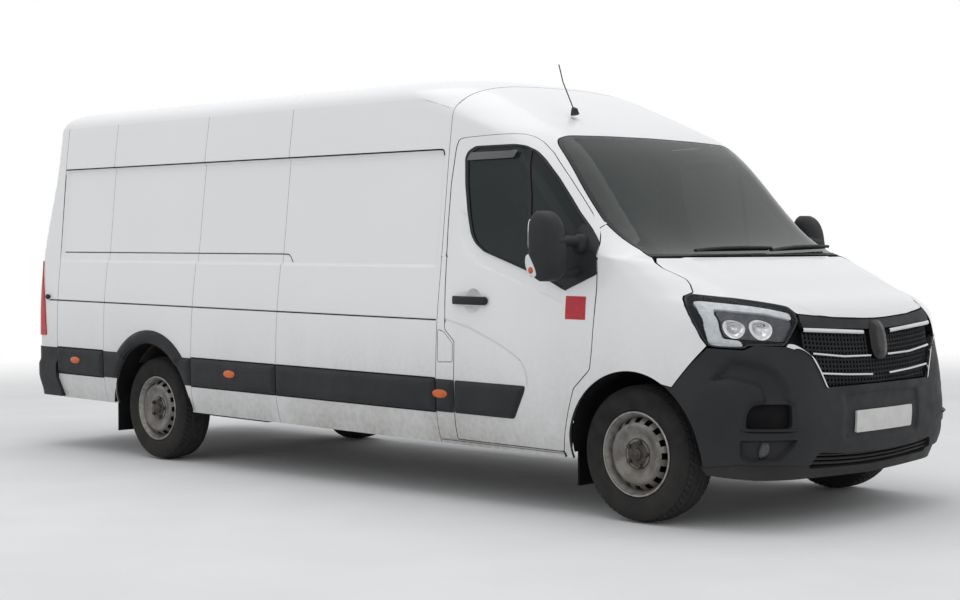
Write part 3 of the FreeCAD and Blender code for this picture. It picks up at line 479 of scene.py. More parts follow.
@dataclass
class Part:
    """Points in body-frame millimetres, with triangles or quads by corner number."""

    points: Array
    faces: list[Array]
    rims: tuple[int, ...] = ()

    def mirrored(self) -> "Part":
        """The same part on the other side of the van, still facing outwards."""
        return Part(self.points * (1, -1, 1), [f[:, ::-1] for f in self.faces], self.rims)

    def on(self, side: Side) -> "Part":
        """A part made on the left, for either side."""
        return self if side is Side.LEFT else self.mirrored()

    def moved(self, x: float, y: float, z: float) -> "Part":
        """The part shifted by millimetres."""
        return Part(self.points + (x, y, z), self.faces, self.rims)


def joined(parts: Sequence[Part]) -> Part:
    """Several parts as one.

    Args:
        parts: The parts to join.

    Returns:
        One part with all their points and faces.
    """
    points, faces, rims, start = [], [], [], 0
    for part in parts:
        points.append(part.points)
        rims += [len(faces) + i for i in part.rims]
        faces += [f + start for f in part.faces]
        start += len(part.points)
    return Part(np.vstack(points), faces, tuple(rims))


def skin(loops: Sequence[Array], spacing: float = 38, rim: float = 14,
         features: Sequence["Groove | Field | Ribs"] = (), lift: float = 0,
         chart: Chart = BODY.point, centre: tuple[float, float, float] | None = None) -> Part:
    """A region of a surface with its edge folded inwards.

    The chart's two tangents, by differences of a millimetre, give each point's normal. The
    point moves along it by the lift and the features' heights, and the rim follows it the
    other way.

    Args:
        loops: Closed outlines in the chart, the outer one first.
        spacing: About the length of a triangle's side.
        rim: How deep the folded edge goes, in millimetres.
        features: What is pressed into the region or stands out of it.
        lift: Height above the surface of the whole region.
        chart: Places on the surface from places in the chart.
        centre: A point that the outer face looks away from.

    Returns:
        The skin as a part.
    """
    guides = [line for feature in features for line in feature.guides()]
    place, faces = triangulate(loops, guides, spacing)
    point = chart(place)
    along = chart(place + (1, 0)) - point
    up = chart(place + (0, 1)) - point
    normal = np.cross(along, up)
    normal /= np.maximum(np.linalg.norm(normal, axis=1, keepdims=True), 1e-9)
    middle = centre or (float(np.clip(point[:, 0].mean(), -5000, -300)), 0, 1100)
    if np.sum(normal * (point - middle)) < 0:
        normal = -normal
    relief = sum((feature.height(place) for feature in features), np.zeros(len(place)))
    height = np.full(len(point), float(lift)) + relief
    outer = point + normal * height[:, None]
    a, b, c = (outer[faces[:, i]] for i in range(3))
    facing = np.sum(np.cross(b - a, c - a) * normal[faces[:, 0]], axis=1)
    if facing.sum() < 0:
        faces = faces[:, ::-1]
    if not rim:
        return Part(outer, [faces])
    pairs = np.concatenate([faces[:, [0, 1]], faces[:, [1, 2]], faces[:, [2, 0]]])
    code = np.sort(pairs, 1) @ np.array([len(outer) + 1, 1])
    _, index, count = np.unique(code, return_index=True, return_counts=True)
    border = pairs[index[count == 1]]
    used = np.unique(border)
    number = np.full(len(outer), -1)
    number[used] = len(outer) + np.arange(len(used))
    low = outer[used] - normal[used] * rim
    quads = np.stack([border[:, 1], border[:, 0], number[border[:, 0]], number[border[:, 1]]], 1)
    return Part(np.vstack([outer, low]), [faces, quads], (1,))


def sheet(grid: Array, wrap_u: bool = False, wrap_v: bool = False) -> Part:
    """A grid of points, rows by columns, as quads.

    Args:
        grid: Points as rows, columns, x-y-z.
        wrap_u: Whether the last row joins the first.
        wrap_v: Whether the last column joins the first.

    Returns:
        The surface as a part.
    """
    rows, columns = grid.shape[:2]
    index = np.arange(rows * columns).reshape(rows, columns)
    if wrap_u:
        index = np.vstack([index, index[:1]])
    if wrap_v:
        index = np.hstack([index, index[:, :1]])
    quads = rows_of(index[:-1, :-1], index[:-1, 1:], index[1:, 1:], index[1:, :-1])
    return Part(grid.reshape(-1, 3), [quads.reshape(-1, 4)])


def capped(grid: Array) -> Part:
    """A grid whose columns wrap round, closed by a point in the middle of each end.

    Args:
        grid: Points as rows, columns, x-y-z.

    Returns:
        The closed part.
    """
    tube = sheet(grid, wrap_v=True)
    rows, columns = grid.shape[:2]
    ends = np.stack([grid[0].mean(0), grid[-1].mean(0)])
    first, last = rows * columns, rows * columns + 1
    ring = np.arange(columns)
    after = np.roll(ring, -1)
    base = (rows - 1) * columns
    low = np.stack([after, ring, np.full(columns, first)], 1)
    high = np.stack([base + ring, base + after, np.full(columns, last)], 1)
    return Part(np.vstack([tube.points, ends]), tube.faces + [low, high])


def tube(path: Sequence[Sequence[float]], radius: float | Array, count: int = 14,
         flat: float = 1.0) -> Part:
    """A round or oval tube along a path: circles across the path's direction at each point.

    Args:
        path: Points along its middle.
        radius: One radius, or one for each point.
        count: How many points go round it.
        flat: Its width over its height.

    Returns:
        The closed tube.
    """
    line = np.array(path, float)
    along = np.gradient(line, axis=0)
    along /= np.linalg.norm(along, axis=1, keepdims=True)
    guide = np.array([0, 0, 1.0]) if abs(along[0, 2]) < 0.8 else np.array([1.0, 0, 0])
    across = np.cross(along, guide)
    across /= np.linalg.norm(across, axis=1, keepdims=True)
    up = np.cross(across, along)
    angle = np.arange(count) / count * 2 * math.pi
    size = np.broadcast_to(np.asarray(radius, float), (len(line),))[:, None, None]
    ring = across[:, None] * np.cos(angle)[None, :, None] * flat \
        + up[:, None] * np.sin(angle)[None, :, None]
    return capped(line[:, None] + ring * size)


def turned_profile(profile: Outline, count: int,
                   ripple: Callable[[Array, Array], Array] | None = None) -> Part:
    """A profile of (radius, y) turned about the Y axis, with an optional change of radius.

    Args:
        profile: Pairs of (radius, y).
        count: How many points go round.
        ripple: Change of radius from the angles and the profile.

    Returns:
        The turned surface.
    """
    line = np.array(profile, float)
    angle = np.arange(count) / count * 2 * math.pi
    radius = np.repeat(line[:, :1], count, 1)
    if ripple:
        radius = radius + ripple(angle[None], line)
    x = radius * np.sin(angle)
    z = radius * np.cos(angle)
    y = np.repeat(line[:, 1:], count, 1)
    return sheet(rows_of(x, y, z), wrap_v=True)


def pillow(centre: Sequence[float], size: Sequence[float], power: float = 4,
           count: int = 24) -> Part:
    """A rounded block: a sphere whose sines and cosines are raised to two over the power.

    Args:
        centre: Its middle.
        size: Half its length, width and height.
        power: How square it is, where 2 is an ellipsoid.
        count: How many rings it has.

    Returns:
        The closed block.
    """
    u = np.linspace(-math.pi / 2, math.pi / 2, count)[:, None]
    v = (np.arange(2 * count) / (2 * count) * 2 * math.pi)[None]
    bend = 2 / power
    flat = signed_power(np.cos(u), bend)
    x = flat * signed_power(np.cos(v), bend) * size[0]
    y = flat * signed_power(np.sin(v), bend) * size[1]
    z = signed_power(np.sin(u), bend) * size[2]
    return capped(rows_of(x, y, z)[1:-1] + centre)


def bar(low: Sequence[float], high: Sequence[float], bevel: float = 3) -> Part:
    """A box between two corners with its edges rounded, as a pillow of a high power.

    Args:
        low: The corner with the least x, y and z.
        high: The corner opposite.
        bevel: About the radius of its edges.

    Returns:
        The closed block.
    """
    low_corner, high_corner = np.array(low, float), np.array(high, float)
    size = (high_corner - low_corner) / 2
    power = float(np.clip(size.min() / bevel * 3, 4, 16))
    return pillow((low_corner + high_corner) / 2, size, power, 18)


def distance(points: Array, line: Array, closed: bool = False) -> Array:
    """The distance of each point to the nearest segment of a polyline.

    Args:
        points: Places in the plane.
        line: The polyline's points.
        closed: Whether its last point joins its first.

    Returns:
        One distance for each place.
    """
    start = line if closed else line[:-1]
    end = np.roll(line, -1, 0) if closed else line[1:]
    best = np.full(len(points), np.inf)
    for a, b in zip(start, end):
        run = b - a
        t = np.clip(((points - a) @ run) / max(float(run @ run), 1e-9), 0, 1)
        best = np.minimum(best, np.linalg.norm(points - a - t[:, None] * run, axis=1))
    return best


def beside(line: Array, gap: float) -> Array:
    """An open polyline moved sideways.

    Args:
        line: The polyline's points.
        gap: How far, to the left of its direction.

    Returns:
        The moved polyline.
    """
    run = np.gradient(line, axis=0)
    run /= np.linalg.norm(run, axis=1, keepdims=True)
    return line + rows_of(-run[:, 1], run[:, 0]) * gap


@dataclass(frozen=True)
class Groove:
    """A pressed line: the surface falls by a depth along it, over a width."""

    line: Array
    width: float = 11
    depth: float = 6

    def guides(self) -> list[Array]:
        """Lines for the triangles to follow."""
        fine = densify(self.line, 25, False)
        return [beside(fine, side * self.width / 2) for side in (-1, -0.25, 0.25, 1)]

    def height(self, place: Array) -> Array:
        """The surface's change of height."""
        away = distance(place, self.line)
        return -self.depth * (1 - smoothstep(self.width * 0.12, self.width / 2, away))


@dataclass(frozen=True)
class Field:
    """A region set lower, or higher with a negative depth, inside a sloping edge."""

    outline: Array
    depth: float = 9
    slope: float = 26

    def guides(self) -> list[Array]:
        """Lines for the triangles to follow.

        Returns:
            Closed rings down the slope.
        """
        ring = densify(self.outline, 30, True)
        lines = [grown(ring, -part * self.slope) for part in (0.0, 0.35, 0.7, 1.0)]
        return [np.vstack([line, line[:1]]) for line in lines]

    def height(self, place: Array) -> Array:
        """The surface's change of height.

        Args:
            place: Places in the chart.

        Returns:
            One change of height for each.
        """
        away = distance(place, self.outline, True)
        within = inside(place, [self.outline])
        return -self.depth * np.where(within, smoothstep(0, self.slope, away), 0)


@dataclass(frozen=True)
class Ribs:
    """Fine ribs: a wave up the surface that begins at a distance from the middle."""

    low: float
    high: float
    pitch: float = 27.0
    depth: float = 3.0

    def guides(self) -> list[Array]:
        """No lines, since the ribs are as fine as the triangles."""
        return []

    def height(self, place: Array) -> Array:
        """The surface's change of height.

        Args:
            place: Places in the chart.

        Returns:
            One change of height for each.
        """
        outer = smoothstep(self.low, self.high, np.abs(place[:, 0]))
        return self.depth * np.sin(place[:, 1] / self.pitch * 2 * math.pi) * outer


class Nodes:
    """A short way to add and link shader nodes in a new material."""

    def __init__(self, name: str) -> None:
        """Makes the material with its output and Principled shader.

        Args:
            name: The material's name.
        """
        self.material = bpy.data.materials.new(name)
        self.material.use_nodes = True
        self.tree = self.material.node_tree
        self.tree.nodes.clear()
        self.out = self.tree.nodes.new("ShaderNodeOutputMaterial")
        self.shader = self.add("ShaderNodeBsdfPrincipled")
        self.link(self.shader.outputs["BSDF"], self.out.inputs["Surface"])
        self.place = self.add("ShaderNodeTexCoord").outputs["Object"]

    def add(self, kind: str, **settings: object) -> bpy.types.Node:
        """Adds a node and sets its properties.

        Args:
            kind: The node's type.
            settings: Its properties by name.

        Returns:
            The node.
        """
        node = self.tree.nodes.new(kind)
        for key, value in settings.items():
            setattr(node, key, value)
        return node

    def link(self, source: Socket, target: Socket) -> None:
        """Links two sockets."""
        self.tree.links.new(source, target)

    def noise(self, scale: float, detail: float = 4,
              stretch: tuple[float, float, float] = (1, 1, 1)) -> Socket:
        """Noise over the object's coordinates.

        Args:
            scale: How many cells a metre has.
            detail: How many finer layers it has.
            stretch: A scale for each axis.

        Returns:
            The noise, from 0 to 1.
        """
        node = self.add("ShaderNodeTexNoise")
        node.inputs["Scale"].default_value = scale
        node.inputs["Detail"].default_value = detail
        if stretch == (1, 1, 1):
            self.link(self.place, node.inputs["Vector"])
        else:
            mapping = self.add("ShaderNodeMapping")
            mapping.inputs["Scale"].default_value = stretch
            self.link(self.place, mapping.inputs["Vector"])
            self.link(mapping.outputs[0], node.inputs["Vector"])
        return node.outputs["Fac"]

    def spread(self, value: Socket, from_low: float, from_high: float,
               low: float, high: float) -> Socket:
        """Maps a value's range smoothly to another.

        Args:
            value: The value.
            from_low: Its lower end.
            from_high: Its upper end.
            low: What the lower end becomes.
            high: What the upper end becomes.

        Returns:
            The mapped value.
        """
        node = self.add("ShaderNodeMapRange", interpolation_type="SMOOTHSTEP")
        for key, number in zip(("From Min", "From Max", "To Min", "To Max"),
                               (from_low, from_high, low, high)):
            node.inputs[key].default_value = number
        self.link(value, node.inputs["Value"])
        return node.outputs["Result"]

    def product(self, first: Socket, second: Socket) -> Socket:
        """The product of two values.

        Args:
            first: One value.
            second: The other.

        Returns:
            Their product.
        """
        node = self.add("ShaderNodeMath", operation="MULTIPLY")
        self.link(first, node.inputs[0])
        self.link(second, node.inputs[1])
        return node.outputs[0]

    def mix(self, factor: Socket, first: object, second: object) -> Socket:
        """A mix of two colours, each a socket or a colour.

        Args:
            factor: How much of the second colour.
            first: A socket or a colour.
            second: Another.

        Returns:
            The mixed colour.
        """
        node = self.add("ShaderNodeMix", data_type="RGBA")
        self.link(factor, node.inputs["Factor"])
        for socket, value in ((node.inputs[6], first), (node.inputs[7], second)):
            if isinstance(value, tuple):
                socket.default_value = (*value, 1)
            else:
                self.link(value, socket)
        return node.outputs[2]

    def height(self) -> Socket:
        """Height above the ground in metres.

        Returns:
            The height's socket.
        """
        node = self.add("ShaderNodeSeparateXYZ")
        self.link(self.place, node.inputs[0])
        return node.outputs["Z"]

    def bump(self, height: Socket, strength: float, reach: float) -> None:
        """Joins a height to the shader's normal.

        Args:
            height: The height.
            strength: How strongly it counts.
            reach: How far a height of 1 stands out, in metres.
        """
        node = self.add("ShaderNodeBump")
        node.inputs["Strength"].default_value = strength
        node.inputs["Distance"].default_value = reach
        self.link(height, node.inputs["Height"])
        self.link(node.outputs[0], self.shader.inputs["Normal"])


@dataclass(frozen=True)
class Finish:
    """A finish: two colours mottled by noise, dirt and painted shade low down, and a fine bump."""

    name: str
    colour: tuple[float, float, float]
    second: tuple[float, float, float]
    roughness: float = 0.5
    metallic: float = 0.0
    mottle: float = 6
    grain: float = 300
    bump: float = 0.1
    reach: float = 0.0005
    dirt: tuple[float, float, float] = (0.25, 0.22, 0.18)
    dirt_top: float = 0.0
    dirt_most: float = 0.0
    coat: float = 0.0
    specular: float = 0.5
    alpha: float = 1.0
    sheen: float = 0.0
    slot: str = "black_plastic"

    def build(self) -> bpy.types.Material:
        """Makes the material.

        Returns:
            The material, with its colour, roughness and bump from nodes.
        """
        nodes = Nodes(self.name)
        patch = nodes.spread(nodes.noise(self.mottle, 6), 0.35, 0.65, 0, 1)
        colour = nodes.mix(patch, self.colour, self.second)
        rough = nodes.spread(nodes.noise(self.mottle * 4, 5), 0.3, 0.7,
                             max(self.roughness - 0.06, 0.02), min(self.roughness + 0.08, 1))
        # Darker towards the ground by height: road dirt, and on the body paint painted shade too.
        if self.dirt_most:
            rise = nodes.add("ShaderNodeMapRange")
            for key, number in (("From Min", 0.2), ("From Max", self.dirt_top), ("To Min", 1),
                                ("To Max", 0)):
                rise.inputs[key].default_value = number
            nodes.link(nodes.height(), rise.inputs["Value"])
            curve = nodes.add("ShaderNodeMath", operation="POWER")
            nodes.link(rise.outputs[0], curve.inputs[0])
            curve.inputs[1].default_value = 2.2
            low = nodes.spread(curve.outputs[0], 0, 1, 0, self.dirt_most)
            streak = nodes.spread(nodes.noise(2.1, 5, (1, 1, 0.35)), 0.3, 0.7, 0.5, 1)
            speck = nodes.spread(nodes.noise(30, 4), 0.3, 0.7, 0.75, 1)
            colour = nodes.mix(nodes.product(nodes.product(low, streak), speck), colour, self.dirt)
        nodes.link(colour, nodes.shader.inputs["Base Color"])
        nodes.link(rough, nodes.shader.inputs["Roughness"])
        for key, value in (("Metallic", self.metallic), ("Coat Weight", self.coat),
                           ("Coat Roughness", 0.06), ("Specular IOR Level", self.specular),
                           ("Alpha", self.alpha), ("Sheen Weight", self.sheen)):
            nodes.shader.inputs[key].default_value = value
        self.surface(nodes)
        return nodes.material

    def surface(self, nodes: Nodes) -> None:
        """Adds the fine bump."""
        nodes.bump(nodes.noise(self.grain, 3), self.bump, self.reach)


@dataclass(frozen=True)
class Woven(Finish):
    """Seat cloth: fine crossed threads."""

    thread: float = 0.0016

    def surface(self, nodes: Nodes) -> None:
        """Adds the weave to the bump.

        Args:
            nodes: The material's nodes.
        """
        ways = []
        for axis in ("X", "Z"):
            wave = nodes.add("ShaderNodeTexWave", bands_direction=axis)
            wave.inputs["Scale"].default_value = 0.05 / self.thread
            nodes.link(nodes.place, wave.inputs["Vector"])
            ways.append(wave.outputs["Fac"])
        nodes.bump(nodes.product(*ways), 0.5, 0.0008)


@dataclass(frozen=True)
class Ribbed(Finish):
    """A lens or tread ribbed across one axis."""

    axis: str = "Z"
    rib: float = 0.006

    def surface(self, nodes: Nodes) -> None:
        """Adds the ribs to the bump.

        Args:
            nodes: The material's nodes.
        """
        wave = nodes.add("ShaderNodeTexWave", bands_direction=self.axis)
        wave.inputs["Scale"].default_value = 0.05 / self.rib
        nodes.link(nodes.place, wave.inputs["Vector"])
        nodes.bump(wave.outputs["Fac"], self.bump, self.reach)


# The colour of the darkening low down: road dirt, and on the body paint painted shade too.
DIRT_AND_SHADE = (0.27, 0.255, 0.225)
PAINT = Finish("body_paint", (0.79, 0.80, 0.805), (0.815, 0.82, 0.825), 0.34, mottle=0.6, grain=40,
               bump=0.0, dirt=DIRT_AND_SHADE, dirt_top=1.75, dirt_most=0.9, coat=0.3, slot="white_paint")
# Near black on the walls of the gaps between painted panels: painted shade in the gaps.
PAINTED_GAP_SHADE = Finish("seam_sealer", (0.045, 0.045, 0.046), (0.06, 0.06, 0.061), 0.7, mottle=8, grain=500)
PLASTIC = Finish("textured_plastic", (0.016, 0.017, 0.019), (0.022, 0.023, 0.025), 0.55,
                 mottle=3, grain=1400, bump=0.35, dirt=(0.075, 0.07, 0.064), dirt_top=0.85,
                 dirt_most=0.3, specular=0.25)
# Near black for real dark linings and parts, and also used as painted shade and shadow.
DARK = Finish("dark_lining", (0.008, 0.008, 0.009), (0.013, 0.013, 0.014), 0.75, mottle=8,
              grain=500, bump=0.2, specular=0.1)
GLOSS = Finish("black_gloss", (0.006, 0.006, 0.007), (0.009, 0.009, 0.010), 0.22, mottle=2,
               bump=0.02, specular=0.3)
GLASS = Finish("tinted_glass", (0.012, 0.018, 0.018), (0.018, 0.024, 0.024), 0.045, mottle=2,
               bump=0.01, alpha=0.95, specular=0.2, slot="glass")
SCREEN_GLASS = Finish("windscreen_glass", (0.020, 0.027, 0.026), (0.028, 0.036, 0.034), 0.04,
                      mottle=2, bump=0.01, alpha=0.86, specular=0.32, slot="glass")
SMOKE = Finish("smoked_acrylic", (0.10, 0.10, 0.105), (0.13, 0.13, 0.135), 0.12, mottle=3,
               bump=0.02, alpha=0.9, slot="glass")
LENS = Finish("clear_lens", (0.10, 0.11, 0.12), (0.14, 0.15, 0.16), 0.04, mottle=4, bump=0.01,
              alpha=0.12, specular=0.8, slot="lamp_lens")
BEZEL = Finish("lamp_bezel", (0.055, 0.058, 0.064), (0.085, 0.088, 0.095), 0.3, 0.4, mottle=30,
               bump=0.05, slot="lamp_lens")
GUIDE = Finish("light_guide", (0.62, 0.65, 0.68), (0.75, 0.78, 0.80), 0.2, mottle=30, bump=0.05,
               slot="lamp_lens")
REFLECTOR = Finish("reflector_metal", (0.62, 0.63, 0.65), (0.72, 0.73, 0.75), 0.12, 1.0,
                   mottle=40, bump=0.05, slot="lamp_lens")
CHROME = Finish("bright_trim", (0.55, 0.56, 0.57), (0.63, 0.64, 0.65), 0.16, 1.0, mottle=5,
                bump=0.03, dirt=(0.2, 0.19, 0.17), dirt_top=1.0, dirt_most=0.4,
                slot="grille_plastic")
RUBBER = Finish("tyre_wall", (0.015, 0.015, 0.016), (0.024, 0.023, 0.022), 0.78, mottle=14,
                grain=900, bump=0.3, dirt=(0.06, 0.056, 0.05), dirt_top=0.75, dirt_most=0.35,
                specular=0.15, slot="tyre_rubber")
TREAD = Finish("tyre_tread", (0.014, 0.014, 0.015), (0.024, 0.023, 0.022), 0.85, mottle=25,
               grain=700, bump=0.35, slot="tyre_rubber")
STEEL = Finish("rim_enamel", (0.20, 0.19, 0.178), (0.115, 0.105, 0.095), 0.4, 0.35, mottle=14,
               grain=260, bump=0.15, dirt=(0.13, 0.11, 0.09), dirt_top=0.62, dirt_most=0.55,
               slot="wheel_steel")
# A lighter copy of the rim's enamel for the barrel and flange: a painted highlight.
FLANGE_HIGHLIGHT = Finish("rim_flange", (0.36, 0.35, 0.335), (0.25, 0.24, 0.225), 0.36, 0.4, mottle=30,
                grain=260, bump=0.15, dirt=(0.13, 0.11, 0.09), dirt_top=0.62, dirt_most=0.4,
                slot="wheel_steel")
HUB = Finish("hub_iron", (0.028, 0.026, 0.025), (0.065, 0.055, 0.048), 0.6, 0.3, mottle=45,
             grain=350, bump=0.3, slot="wheel_steel")
CHASSIS = Finish("chassis_paint", (0.018, 0.018, 0.019), (0.05, 0.043, 0.036), 0.7, 0.1,
                 mottle=9, grain=240, bump=0.3)
GALVANISED = Finish("exhaust_steel", (0.25, 0.24, 0.23), (0.13, 0.10, 0.08), 0.5, 0.8, mottle=16,
                    grain=300, bump=0.25)
FLOORING = Finish("load_floor_board", (0.035, 0.03, 0.026), (0.055, 0.047, 0.04), 0.6, mottle=12,
                  grain=180, bump=0.3)
PANELLING = Finish("load_lining_paint", (0.50, 0.51, 0.51), (0.56, 0.57, 0.57), 0.5, mottle=5,
                   grain=500, bump=0.1, slot="white_paint")
TRIM = Finish("cab_trim", (0.045, 0.046, 0.05), (0.06, 0.061, 0.065), 0.7, mottle=12,
              grain=1200, bump=0.3)
CLOTH = Woven("seat_cloth", (0.035, 0.037, 0.043), (0.055, 0.057, 0.065), 0.9, mottle=60,
              sheen=0.4, slot="seat_fabric")
RED = Ribbed("tail_red", (0.42, 0.008, 0.010), (0.50, 0.012, 0.014), 0.12, mottle=20,
             bump=0.15, reach=0.0008, slot="red_lens")
AMBER = Ribbed("amber_lens", (0.50, 0.085, 0.008), (0.62, 0.12, 0.012), 0.15, mottle=20, bump=0.25,
               reach=0.0008, slot="red_lens")
PALE = Finish("plate_blank", (0.62, 0.62, 0.60), (0.68, 0.68, 0.66), 0.35, mottle=14, bump=0.05,
              dirt=DIRT_AND_SHADE, dirt_top=1.2, dirt_most=0.35, slot="white_paint")
YELLOW = Finish("rear_plate_blank", (0.62, 0.44, 0.05), (0.68, 0.48, 0.07), 0.35, mottle=14,
                bump=0.05, dirt=DIRT_AND_SHADE, dirt_top=1.2, dirt_most=0.35, slot="white_paint")
STICKER = Finish("red_square", (0.42, 0.012, 0.024), (0.48, 0.018, 0.032), 0.5, mottle=40,
                 bump=0.05, slot="red_lens")
MIRROR = Finish("mirror_glass", (0.8, 0.81, 0.82), (0.84, 0.85, 0.86), 0.03, 1.0, mottle=4,
                bump=0.01)


def plain_rays(tree: bpy.types.NodeTree) -> Socket:
    """One for the rays that show the plain white surroundings: seen, mirrored or through glass.

    Args:
        tree: The node tree to add to.

    Returns:
        The largest of Light Path's camera, glossy and transmission outputs.
    """
    path = tree.nodes.new("ShaderNodeLightPath")
    found = path.outputs["Is Camera Ray"]
    for name in ("Is Glossy Ray", "Is Transmission Ray"):
        larger = tree.nodes.new("ShaderNodeMath")
        larger.operation = "MAXIMUM"
        tree.links.new(found, larger.inputs[0])
        tree.links.new(path.outputs[name], larger.inputs[1])
        found = larger.outputs[0]
    return found


@dataclass(frozen=True)
class Backdrop(Finish):
    """The pale floor: it keeps shadows nearby and turns to plain white far off."""

    near: float = 7.0
    far: float = 15.0

    def surface(self, nodes: Nodes) -> None:
        """Mixes the floor with plain white by the distance from the middle.

        Args:
            nodes: The material's nodes.
        """
        super().surface(nodes)
        length = nodes.add("ShaderNodeVectorMath", operation="LENGTH")
        nodes.link(nodes.place, length.inputs[0])
        away = nodes.spread(length.outputs["Value"], self.near, self.far, 0, 1)
        seen = nodes.product(away, plain_rays(nodes.tree))
        glow = nodes.add("ShaderNodeEmission")
        mix = nodes.add("ShaderNodeMixShader")
        nodes.link(seen, mix.inputs[0])
        nodes.link(nodes.shader.outputs["BSDF"], mix.inputs[1])
        nodes.link(glow.outputs[0], mix.inputs[2])
        nodes.link(mix.outputs[0], nodes.out.inputs["Surface"])


GROUND = Backdrop("studio_floor", (0.78, 0.78, 0.78), (0.81, 0.81, 0.81), 0.85, mottle=1.2,
                  grain=60, bump=0.05)


@dataclass
class Piece:
    """What one visible piece is, and which body and nodes it belongs to."""

    name: str
    part: Part
    finish: Finish
    body: str = VAN
    replaces: tuple[str, ...] = ()
    angle: float = 32
    row_frame: bool = False
    padded: float = 0.0
    slot: str = ""


@dataclass
class Assembly:
    """A group of pieces that is built, then dressed with finishes and joined to its body."""

    def build(self) -> list[Piece]:
        """The pieces of the assembly."""
        raise NotImplementedError

    def dress(self, pieces: list[Piece]) -> None:
        """Makes each piece's object, with its finish, its body and the nodes it stands for.

        Args:
            pieces: What build has made.
        """
        for piece in pieces:
            mesh = bpy.data.meshes.new(piece.name)
            points = piece.part.points / 1000 if piece.row_frame else to_row(piece.part.points)
            faces = [face for block in piece.part.faces for face in block.tolist()]
            mesh.from_pydata(points.tolist(), [], faces)
            for polygon in mesh.polygons:
                polygon.use_smooth = True
            mesh.set_sharp_from_angle(angle=math.radians(piece.angle))
            thing = bpy.data.objects.new(piece.name, mesh)
            bpy.context.scene.collection.objects.link(thing)
            mesh.materials.append(finish_of(piece.finish))
            # The rims of painted panels, the walls of their gaps, take the near-black colour as
            # painted shade.
            if piece.finish is PAINT and piece.part.rims:
                mesh.materials.append(finish_of(PAINTED_GAP_SHADE))
                sizes = [len(block) for block in piece.part.faces]
                index = np.repeat([int(i in piece.part.rims) for i in range(len(sizes))], sizes)
                mesh.polygons.foreach_set("material_index", index)
            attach(thing, piece.body)
            if piece.replaces:
                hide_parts(*piece.replaces)
            LOG.info("%s: %d faces on %s", piece.name, len(mesh.polygons), piece.body)


MADE: dict[str, bpy.types.Material] = {}


def finish_of(finish: Finish) -> bpy.types.Material:
    """The material of a finish, made once.

    Args:
        finish: The finish.

    Returns:
        Its material.
    """
    if finish.name not in MADE:
        MADE[finish.name] = finish.build()
    return MADE[finish.name]


def flipped(outline: Array) -> Array:
    """An outline in (s, q) on the other side of the van."""
    return (outline * (-1, 1))[::-1]


def symmetric(half: Outline | Array) -> Array:
    """A closed outline across the van from its left half, given from the middle outwards.

    Args:
        half: Rows of (s, q).

    Returns:
        The closed outline.
    """
    half = np.array(half, float)
    other = half[::-1] * (-1, 1)
    start = 1 if abs(half[-1, 0]) < 1 else 0
    end = len(other) - (1 if abs(half[0, 0]) < 1 else 0)
    return np.vstack([half, other[start:end]])


def circle(centre: tuple[float, float], radius: float, start: float, end: float,
           count: int = 40) -> Array:
    """Points on an arc between two angles in degrees."""
    angle = np.radians(np.linspace(start, end, count))
    return rows_of(centre[0] + radius * np.cos(angle), centre[1] + radius * np.sin(angle))


def whole_circle(centre: tuple[float, float], radius: float, count: int) -> Array:
    """A closed circle's points."""
    return circle(centre, radius, 0, 360, count + 1)[:-1]


DOOR_BACK = [(-302, 1516), (-382, 1606), (-555, 1797), (-687, 1935), (-762, 1995), (-818, 2026),
             (-869, 2042), (-928, 2047), (-1108, 2045), (-1296, 2039), (-1338, 2030),
             (-1356, 1989), (-1382, 1778), (-1389, 1532), (-1385, 1222), (-1378, 1090),
             (-1373, 954), (-1294, 889), (-1299, 331), (-490, 331)]
DOOR_FRONT = [(-490, 331), (-430, 561), (-390, 678), (-278, 783), (-264, 896), (-255, 1060),
              (-248, 1200), (-252, 1300), (-266, 1439), (-302, 1516)]
BAND = (481.0, 667.0)
WINDOW = [(-1284, 1928), (-1262, 1964), (-1205, 1989), (-1059, 1989), (-901, 1989), (-834, 1979),
          (-763, 1948), (-703, 1901), (-600, 1800), (-517, 1708), (-427, 1606), (-344, 1526),
          (-264, 1442), (-249, 1280), (-473, 1191), (-591, 1241), (-715, 1280), (-925, 1344),
          (-1097, 1396), (-1170, 1444), (-1207, 1495), (-1236, 1592), (-1271, 1775)]
FLAP = [(-1431, 949), (-1384, 938), (-1312, 876), (-1312, 772), (-1431, 766)]
SCREEN = np.array([(0, 1868), (600, 1870), (866, 1878), (852, 1960), (876, 2080), (892, 2193),
                   (872, 2450), (834, 2721), (822, 2785), (791, 2835), (707, 2873), (400, 2887),
                   (0, 2893)], float)
BONNET = np.array([(0, 1082), (104, 1084), (355, 1098), (595, 1132), (602, 1189), (807, 1298),
                   (985, 1358), (962, 1375), (915, 1465), (896, 1522), (907, 1603), (920, 1669),
                   (903, 1764), (856, 1836), (600, 1832), (0, 1830)], float)
LAMP = np.array([(602, 1189), (807, 1298), (985, 1358), (1046, 1322), (1085, 1274),
                 (1135, 1193), (1162, 1122), (1166, 1075), (1135, 998), (1108, 960), (1069, 951),
                 (930, 946), (905, 960), (776, 960), (718, 956), (618, 1079), (600, 1140)], float)
GRILLE = np.array([(0, 1074), (355, 1090), (588, 1122), (602, 1079), (706, 962), (637, 946),
                   (575, 903), (521, 813), (486, 746), (0, 746)], float)
ARCH = {"front": ((-5.0, 356.0), 432.0), "rear": ((-4337.0, 292.0), 455.0)}
SEAM_AT = ((-1449, 297), (-1449, 665), (-1410, 2286))
GUTTER = 2286.0
SILL = 297.0
GAP = 2.5


def seam_x(z: Array) -> Array:
    """The x of the seam between the cab and the load body at a height."""
    heights = np.array([p[1] for p in SEAM_AT], float)
    return np.interp(z, heights, np.array([p[0] for p in SEAM_AT], float))


